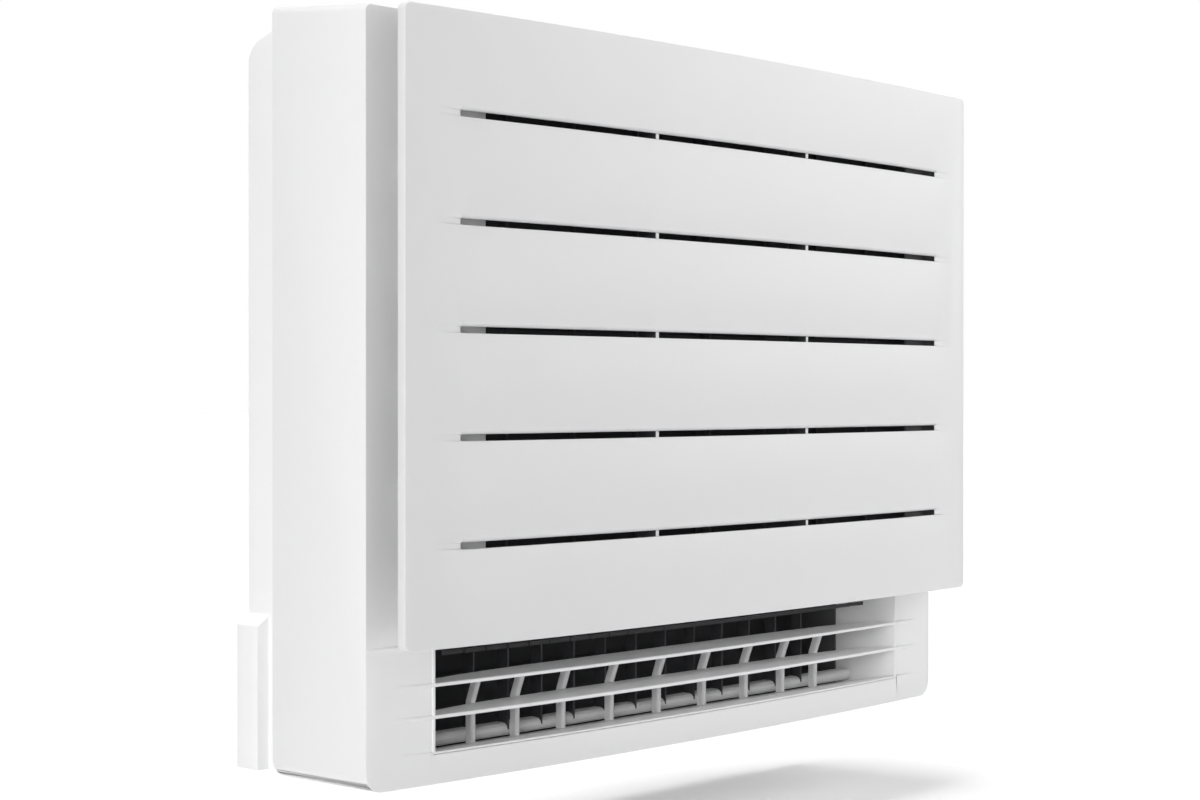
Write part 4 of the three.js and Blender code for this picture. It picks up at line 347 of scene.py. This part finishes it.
# Black rubber, also used as painted shade along the outlet's upper edge
RUBBER_AND_SHADE = plastic("black rubber", (0.014, 0.014, 0.015), 0.75)
NET = woven("filter net", (0.045, 0.047, 0.052), (0.008, 0.008, 0.009), 1.3 * MM, 0.35)
CARBON = woven("honeycomb filter", (0.10, 0.105, 0.11), (0.012, 0.012, 0.013), 2.2 * MM, 0.3)
FINS = metal("fin aluminium", (0.66, 0.68, 0.70), 0.32, stretch=(1.0, 1.0, 12.0))
STEEL = metal("zinc steel", (0.56, 0.57, 0.58), 0.36)
COPPER = metal("copper", (0.80, 0.42, 0.27), 0.26, stretch=(1.0, 1.0, 0.2))
BRASS = metal("brass", (0.75, 0.58, 0.28), 0.3)
BOARD = plastic("green board", (0.03, 0.12, 0.06), 0.35, grain=500.0, depth=0.03 * MM)
LENS = plastic("smoked lens", (0.035, 0.036, 0.04), 0.08, depth=0.0)

# Solids with nothing more to them than rounded edges and one finish
PLAIN_PIECES = (
    # node, edge radius, material, slot
    ("upper_flap", 0.6 * MM, WHITE, "white_plastic"),
    ("lower_damper_motor", 0.6 * MM, GREY, "grey_plastic"),
    ("upper_flap_motor", 0.6 * MM, GREY, "grey_plastic"),
    ("panel_catch_right", 0.4 * MM, PALE, "pale_plastic"),
    ("panel_catch_left", 0.4 * MM, PALE, "pale_plastic"),
    ("upper_outlet_frame", 0.4 * MM, PALE, "pale_plastic"),
    ("drain_pan", 0.6 * MM, GREY, "grey_plastic"),
    ("bell_mouth", 0.4 * MM, GREY, "grey_plastic"),
    ("turbo_fan", 0.3 * MM, GREY, "grey_plastic"),
    ("fan_shaft", 0.4 * MM, STEEL, "zinc_steel"),
    ("fan_nut", 0.5 * MM, STEEL, "zinc_steel"),
    ("fan_motor", 1.0 * MM, STEEL, "zinc_steel"),
    ("motor_cushion", 0.6 * MM, RUBBER_AND_SHADE, "rubber"),
    ("gas_flare_nut", 0.6 * MM, BRASS, "brass"),
    ("liquid_flare_nut", 0.5 * MM, BRASS, "brass"),
    ("control_box", 0.4 * MM, STEEL, "zinc_steel"),
    ("control_cover", 0.5 * MM, STEEL, "zinc_steel"),
    ("display_module", 0.5 * MM, PALE, "pale_plastic"),
    ("display_lens", 0.5 * MM, LENS, "lens"),
    ("power_button", 0.5 * MM, PALE, "pale_plastic"),
    ("outlet_switch_base", 0.4 * MM, DARK_PLASTIC_AND_SHADE, "dark_plastic"),
    ("outlet_switch", 0.5 * MM, PALE, "pale_plastic"),
)


# Mesh helpers

def placed(name, data):
    """A new object of some data, linked into the scene."""
    made = bpy.data.objects.new(name, data)
    bpy.context.scene.collection.objects.link(made)
    return made


def copied(name, piece, material):
    """A clean copy of a solid, smooth all over, which stands for it on the same body."""
    mesh = NODES[name].data.copy()
    mesh.materials.clear()
    mesh.materials.append(material)
    made = placed(piece, mesh)
    work = bmesh.new()
    work.from_mesh(mesh)
    bmesh.ops.remove_doubles(work, verts=work.verts, dist=MERGE_DISTANCE)
    bmesh.ops.dissolve_limit(
        work, angle_limit=math.radians(FLAT_ANGLE), verts=work.verts, edges=work.edges, delimit=set())
    work.to_mesh(mesh)
    work.free()
    for face in mesh.polygons:
        face.use_smooth = True
    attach(made, NODES[name]["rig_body"])
    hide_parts(name)
    return made


def softened(name, piece, radius, material, share=None):
    """A copy of a solid with rounded edges; a share of the radius can be given by the edge's middle."""
    made = copied(name, piece, material)
    weigh_edges(made.data, share)
    edges = made.modifiers.new("edges", "BEVEL")
    edges.width = radius
    edges.segments = EDGE_STEPS
    edges.limit_method = "WEIGHT"
    edges.harden_normals = True
    edges.use_clamp_overlap = False
    edges.miter_outer = "MITER_SHARP"
    return made


def weigh_edges(mesh, share):
    """Marks each sharp edge for rounding by its share, and keeps it crisp where the share is zero."""
    work = bmesh.new()
    work.from_mesh(mesh)
    weight = work.edges.layers.float.new("bevel_weight_edge")
    for edge in work.edges:
        if edge.calc_face_angle(0) > math.radians(EDGE_ANGLE):
            middle = (edge.verts[0].co + edge.verts[1].co) / 2
            edge[weight] = 1 if share is None else share(middle)
            edge.smooth = edge[weight] > 0
    work.to_mesh(mesh)
    work.free()


def crisp(name, piece, material):
    """A copy of a small stamped or slotted piece whose edges stay sharp."""
    made = copied(name, piece, material)
    for face in made.data.polygons:
        face.use_smooth = False


def tubular(name, piece, material):
    """A copy of a bent tube, made round; its end rims stay crisp."""
    made = copied(name, piece, material)
    work = bmesh.new()
    work.from_mesh(made.data)
    crease = work.edges.layers.float.new("crease_edge")
    for edge in work.edges:
        if edge.calc_face_angle(0) > math.radians(RIM_ANGLE):
            edge[crease] = 1
            edge.smooth = False
    work.to_mesh(made.data)
    work.free()
    rounding = made.modifiers.new("round", "SUBSURF")
    rounding.levels = rounding.render_levels = TUBE_LEVELS


def paint(piece, material, test):
    """Gives the faces whose middle and normal pass a test another material."""
    piece.data.materials.append(material)
    for face in piece.data.polygons:
        if test(face.center, face.normal):
            face.material_index = len(piece.data.materials) - 1


def boxes(piece, spans, material, carrier):
    """One mesh of closed boxes, each given by its low and high corner, on the body of a node."""
    points = []
    faces = []
    for low, high in spans:
        faces += [[len(points) + corner for corner in side] for side in BOX_SIDES]
        points += product(*zip(low, high))
    mesh = bpy.data.meshes.new(piece)
    mesh.from_pydata(points, [], faces)
    mesh.materials.append(material)
    made = placed(piece, mesh)
    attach(made, NODES[carrier]["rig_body"])
    return made


# Which faces get another finish, and which edges another rounding

def front_line(x):
    """Depth of the bowed front at a place across the unit."""
    return BOW_FRONT + BOW_DEPTH * (x / BOW_HALF) ** 2


def slot_shade_faces(centre, normal):
    """Slot faces painted dark as shade: their ends, the sides of their bridges and the right end's land."""
    if centre.y < front_line(centre.x) - SLOT_REACH:
        return False
    upright = abs(normal.x) > FACING and abs(centre.x) < SLOT_HALF
    land = normal.y < -FACING and LAND_START < centre.x < LAND_END
    return upright or land


def passage_shade_faces(centre, normal):
    """The air passage's inside, painted dark as shade: between its side walls, over its floor and up to its
    back wall.
    """
    inside = abs(centre.x) < PASSAGE_HALF and PASSAGE_LOW < centre.z < PASSAGE_HIGH
    on_back = normal.y < -LEANING and centre.y < PASSAGE_BACK
    return inside and (centre.y < PASSAGE_REACH or on_back)


def casing_edge(middle):
    """The outlet's opening stays crisp, because the grille's sleeve fills it flush."""
    across = abs(middle.x) < MOUTH_HALF and MOUTH_LOW < middle.z < MOUTH_HIGH
    return 0 if across and middle.y < MOUTH_BACK else 1


def grille_edge(middle):
    """Rails have full round fronts and the ribs smaller rounds; the sleeve's rim stays crisp."""
    if abs(middle.x) > SLEEVE_HALF or middle.z < SLEEVE_LOW or middle.z > SLEEVE_HIGH:
        return 0
    on_rail = abs(middle.x) < RAIL_HALF and RAILS_LOW < middle.z < RAILS_HIGH
    return 1 if on_rail and middle.y < front_line(middle.x) + RAIL_NOSE else RIB_SHARE


def blade_edge(middle):
    """An upper blade's foot and the ends of its pins stay crisp."""
    return 0 if middle.z < BLADE_FOOT else 1


# The front: panel, casing, frame and lower outlet

def front():
    """The mouldings that show from the front and the sides."""
    panel = softened("front_panel", "panel_moulding", PANEL_ROUND, WHITE)
    # The slots' ends, their bridges' sides and the right end's land are painted dark as shade
    paint(panel, DARK_PLASTIC_AND_SHADE, slot_shade_faces)
    slot_end_shade_strips()
    softened("front_casing", "casing_moulding", CASING_ROUND, PAINTED_LIGHT_WHITE, casing_edge)
    rear = softened("rear_frame", "rear_frame_moulding", FRAME_ROUND, PAINTED_LIGHTEST_WHITE)
    # The inside of the air passage is painted dark as shade
    paint(rear, DEEP_SHADE, passage_shade_faces)
    grille = softened("lower_grille", "grille_moulding", GRILLE_ROUND, PAINTED_LIGHT_WHITE, grille_edge)
    close_seam(grille)
    vanes = softened("lower_vanes", "vane_moulding", VANE_ROUND, DARK_PLASTIC_AND_SHADE)
    paint(vanes, PAINTED_LIGHT_WHITE, lambda centre, _: centre.z < VANE_FOOT)
    painted_gap_shade()


def slot_end_shade_strips():
    """Dark strips of painted shade behind the ends of the slots, on the panel's back."""
    spans = []
    for index in range(SLOT_COUNT):
        z = SLOT_FIRST + index * SLOT_PITCH
        for start, end in ((-STRIP_OUTER, -STRIP_INNER), (STRIP_INNER, STRIP_OUTER)):
            spans.append((
                (start, STRIP_FRONT, z - STRIP_HALF),
                (end, STRIP_FRONT + STRIP_THICKNESS, z + STRIP_HALF)))
    boxes("panel_slot_end_shade", spans, DARK_PLASTIC_AND_SHADE, "front_panel")


def close_seam(piece):
    """Spreads the sleeve's front rim until it fills the casing's opening."""
    for vertex in piece.data.vertices:
        if vertex.co.y > SLEEVE_RIM:
            continue
        if abs(vertex.co.x) > SLEEVE_HALF:
            vertex.co.x += math.copysign(SEAM_SPREAD, vertex.co.x)
        if vertex.co.z < SLEEVE_LOW:
            vertex.co.z -= SEAM_SPREAD
        elif vertex.co.z > SLEEVE_HIGH:
            vertex.co.z += SEAM_SPREAD


def painted_gap_shade():
    """A thin dark strip of painted shade along the outlet's upper edge; it stops short of the right end."""
    places = [GAP_START + (GAP_END - GAP_START) * step / GAP_STEPS for step in range(GAP_STEPS + 1)]
    spans = []
    for start, end in zip(places, places[1:]):
        front_face = front_line((start + end) / 2) + GAP_SETBACK
        spans.append(((start, front_face, GAP_LOW), (end, front_face + GAP_DEPTH, GAP_HIGH)))
    boxes("outlet_painted_gap_shade", spans, RUBBER_AND_SHADE, "lower_grille")


# Pieces behind the front and at the top

def upper_blades():
    """The upright blades of the top outlet, and the links that turn them together."""
    for index in range(BLADE_COUNT):
        name = f"upper_blade_{index + 1}"
        softened(name, name + "_finish", BLADE_ROUND, PALE, blade_edge)
    for side in ("left", "right"):
        crisp(f"blade_link_{side}", f"blade_link_{side}_bar", GREY)


def damper():
    """The pale damper; its upper side behind the bead along its front edge is painted dark as shade."""
    made = softened("lower_damper", "lower_damper_finish", DAMPER_ROUND, PALE)
    paint(made, DEEP_SHADE, lambda centre, normal: normal.z > LEANING and centre.y > DAMPER_BEAD)


def intake():
    """The pale intake frame; its bars behind the slots are dark."""
    made = softened("intake_frame", "intake_frame_finish", INTAKE_ROUND, PALE)
    _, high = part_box("intake_frame")
    end, top = high.x - INTAKE_BORDER, high.z - INTAKE_BORDER
    paint(made, DARK_PLASTIC_AND_SHADE, lambda centre, _: abs(centre.x) < end and centre.z < top)


def filters():
    """Dark moulded frames, with a net in each air filter's windows and cells in each purifying filter."""
    for side in ("right", "left"):
        name = f"air_filter_{side}"
        made = softened(name, name + "_frame", FILTER_ROUND, DARK_PLASTIC_AND_SHADE)
        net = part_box(name)[1].y - NET_DEPTH
        paint(made, NET, lambda centre, normal: abs(normal.y) > FACING and centre.y > net)
        name = f"purifying_filter_{side}"
        made = softened(name, name + "_case", FILTER_ROUND, DARK_PLASTIC_AND_SHADE)
        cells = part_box(name)[0].y + CELL_DEPTH
        paint(made, CARBON, lambda centre, normal: abs(normal.y) > FACING and centre.y < cells)


def fin_stack():
    """Thin plates at their real pitch, in place of the solid's coarse grooves."""
    low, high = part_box("coil_fins")
    count = round((high.x - low.x) / FIN_PITCH)
    half = FIN_THICKNESS / 2
    places = [low.x + (index + 0.5) * (high.x - low.x) / count for index in range(count)]
    spans = [((x - half, low.y, low.z), (x + half, high.y, high.z)) for x in places]
    made = boxes("coil_fin_stack", spans, FINS, "coil_fins")
    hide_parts("coil_fins")


def coil_ends():
    """Steel end plates; what stands beyond their faces, such as the return bends, is bare copper."""
    for side in ("right", "left"):
        name = f"coil_end_{side}"
        made = softened(name, name + "_plate", PLATE_ROUND, STEEL)
        paint(made, COPPER, lambda centre, _: abs(centre.x) > PLATE_FACE and centre.y < BEND_BACK)


def electrics():
    """The lacquered board with dark parts on it, and the terminal block with brass in its ways."""
    board = softened("control_board", "control_board_assembly", BOARD_ROUND, BOARD)
    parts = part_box("control_board")[1].y - BOARD_THICKNESS
    paint(board, DARK_PLASTIC_AND_SHADE, lambda centre, _: centre.y < parts)
    block = softened("terminal_block", "terminal_block_moulding", BLOCK_ROUND, DARK_PLASTIC_AND_SHADE)
    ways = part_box("terminal_block")[0].y + WAY_DEPTH
    paint(block, BRASS, lambda centre, normal: normal.y < -FACING and centre.y > ways)


# Floor, light and camera

def seen_directly(tree):
    """1 for camera, glossy and transmission rays, and 0 for the light that reaches the object."""
    path = node(tree, "ShaderNodeLightPath")
    seen = path.outputs["Is Camera Ray"]
    for kind in ("Is Glossy Ray", "Is Transmission Ray"):
        either = node(tree, "ShaderNodeMath", operation="MAXIMUM")
        tree.links.new(seen, either.inputs[0])
        tree.links.new(path.outputs[kind], either.inputs[1])
        seen = either.outputs[0]
    return seen


def stage_floor():
    """A pale floor that keeps the unit's shadow and meets the white background."""
    mesh = bpy.data.meshes.new("floor")
    half = FLOOR_SIZE / 2
    mesh.from_pydata(
        [(-half, -half, 0), (half, -half, 0), (half, half, 0), (-half, half, 0)], [], [(0, 1, 2, 3)])
    floor = placed("floor", mesh)
    floor.location.z = -FLOOR_DROP
    material, tree, principled = shader("pale floor")
    tree.links.new(
        blend_colours(tree, noise(tree, FLOOR_MOTTLE), *FLOOR_COLOURS), principled.inputs["Base Color"])
    principled.inputs["Roughness"].default_value = FLOOR_ROUGHNESS
    principled.inputs["Specular IOR Level"].default_value = 0.0
    principled.inputs["Emission Color"].default_value = WHITE_LIGHT
    tree.links.new(
        spread(tree, seen_directly(tree), 0.0, FLOOR_GLOW), principled.inputs["Emission Strength"])
    mesh.materials.append(material)


def sky():
    """An even sky; the camera, glossy and transmission rays see it white."""
    world = bpy.data.worlds.new("studio")
    bpy.context.scene.world = world
    world.use_nodes = True
    tree = world.node_tree
    tree.nodes.clear()
    background = node(tree, "ShaderNodeBackground", Color=WHITE_LIGHT)
    tree.links.new(spread(tree, seen_directly(tree), SKY_STRENGTH, 1.0), background.inputs["Strength"])
    out = node(tree, "ShaderNodeOutputWorld")
    tree.links.new(background.outputs[0], out.inputs["Surface"])


def turned(direction):
    """Rotation that turns a lamp's or a camera's view along a direction."""
    return direction.to_track_quat("-Z", "Y").to_euler()


def sun(name, direction, strength, angle):
    """A soft distant lamp that shines along a direction."""
    data = bpy.data.lights.new(name, "SUN")
    data.energy = strength
    data.angle = math.radians(angle)
    placed(name, data).rotation_euler = turned(Vector(direction))


def square_lamp(name):
    """The large square lamp in front of the unit, turned to its target."""
    data = bpy.data.lights.new(name, "AREA")
    data.size = LAMP_SIZE
    data.energy = LAMP_POWER
    lamp = placed(name, data)
    lamp.location = LAMP_PLACE
    lamp.rotation_euler = turned(Vector(LAMP_TARGET) - Vector(LAMP_PLACE))


def camera():
    """The camera at the photograph's place and angle, a yaw from +Y towards +X and a pitch above level."""
    data = bpy.data.cameras.new("camera")
    data.lens = CAMERA_LENS
    data.sensor_width = SENSOR_WIDTH
    data.sensor_fit = "HORIZONTAL"
    made = placed("camera", data)
    made.location = CAMERA_PLACE
    yaw, pitch = math.radians(CAMERA_YAW), math.radians(CAMERA_PITCH)
    made.rotation_euler = turned(Vector((
        math.sin(yaw) * math.cos(pitch), math.cos(yaw) * math.cos(pitch), math.sin(pitch))))
    bpy.context.scene.camera = made


front()
for name, radius, material, slot in PLAIN_PIECES:
    softened(name, name + "_finish", radius, material)
upper_blades()
tubular("gas_pipe", "gas_pipe_round", COPPER)
tubular("liquid_pipe", "liquid_pipe_round", COPPER)
damper()
intake()
filters()
fin_stack()
coil_ends()
electrics()

stage_floor()
sky()
sun("side light", *SIDE_SUN)
sun("top light", *TOP_SUN)
square_lamp("front light")
camera()
bpy.context.scene.view_settings.view_transform = "Standard"
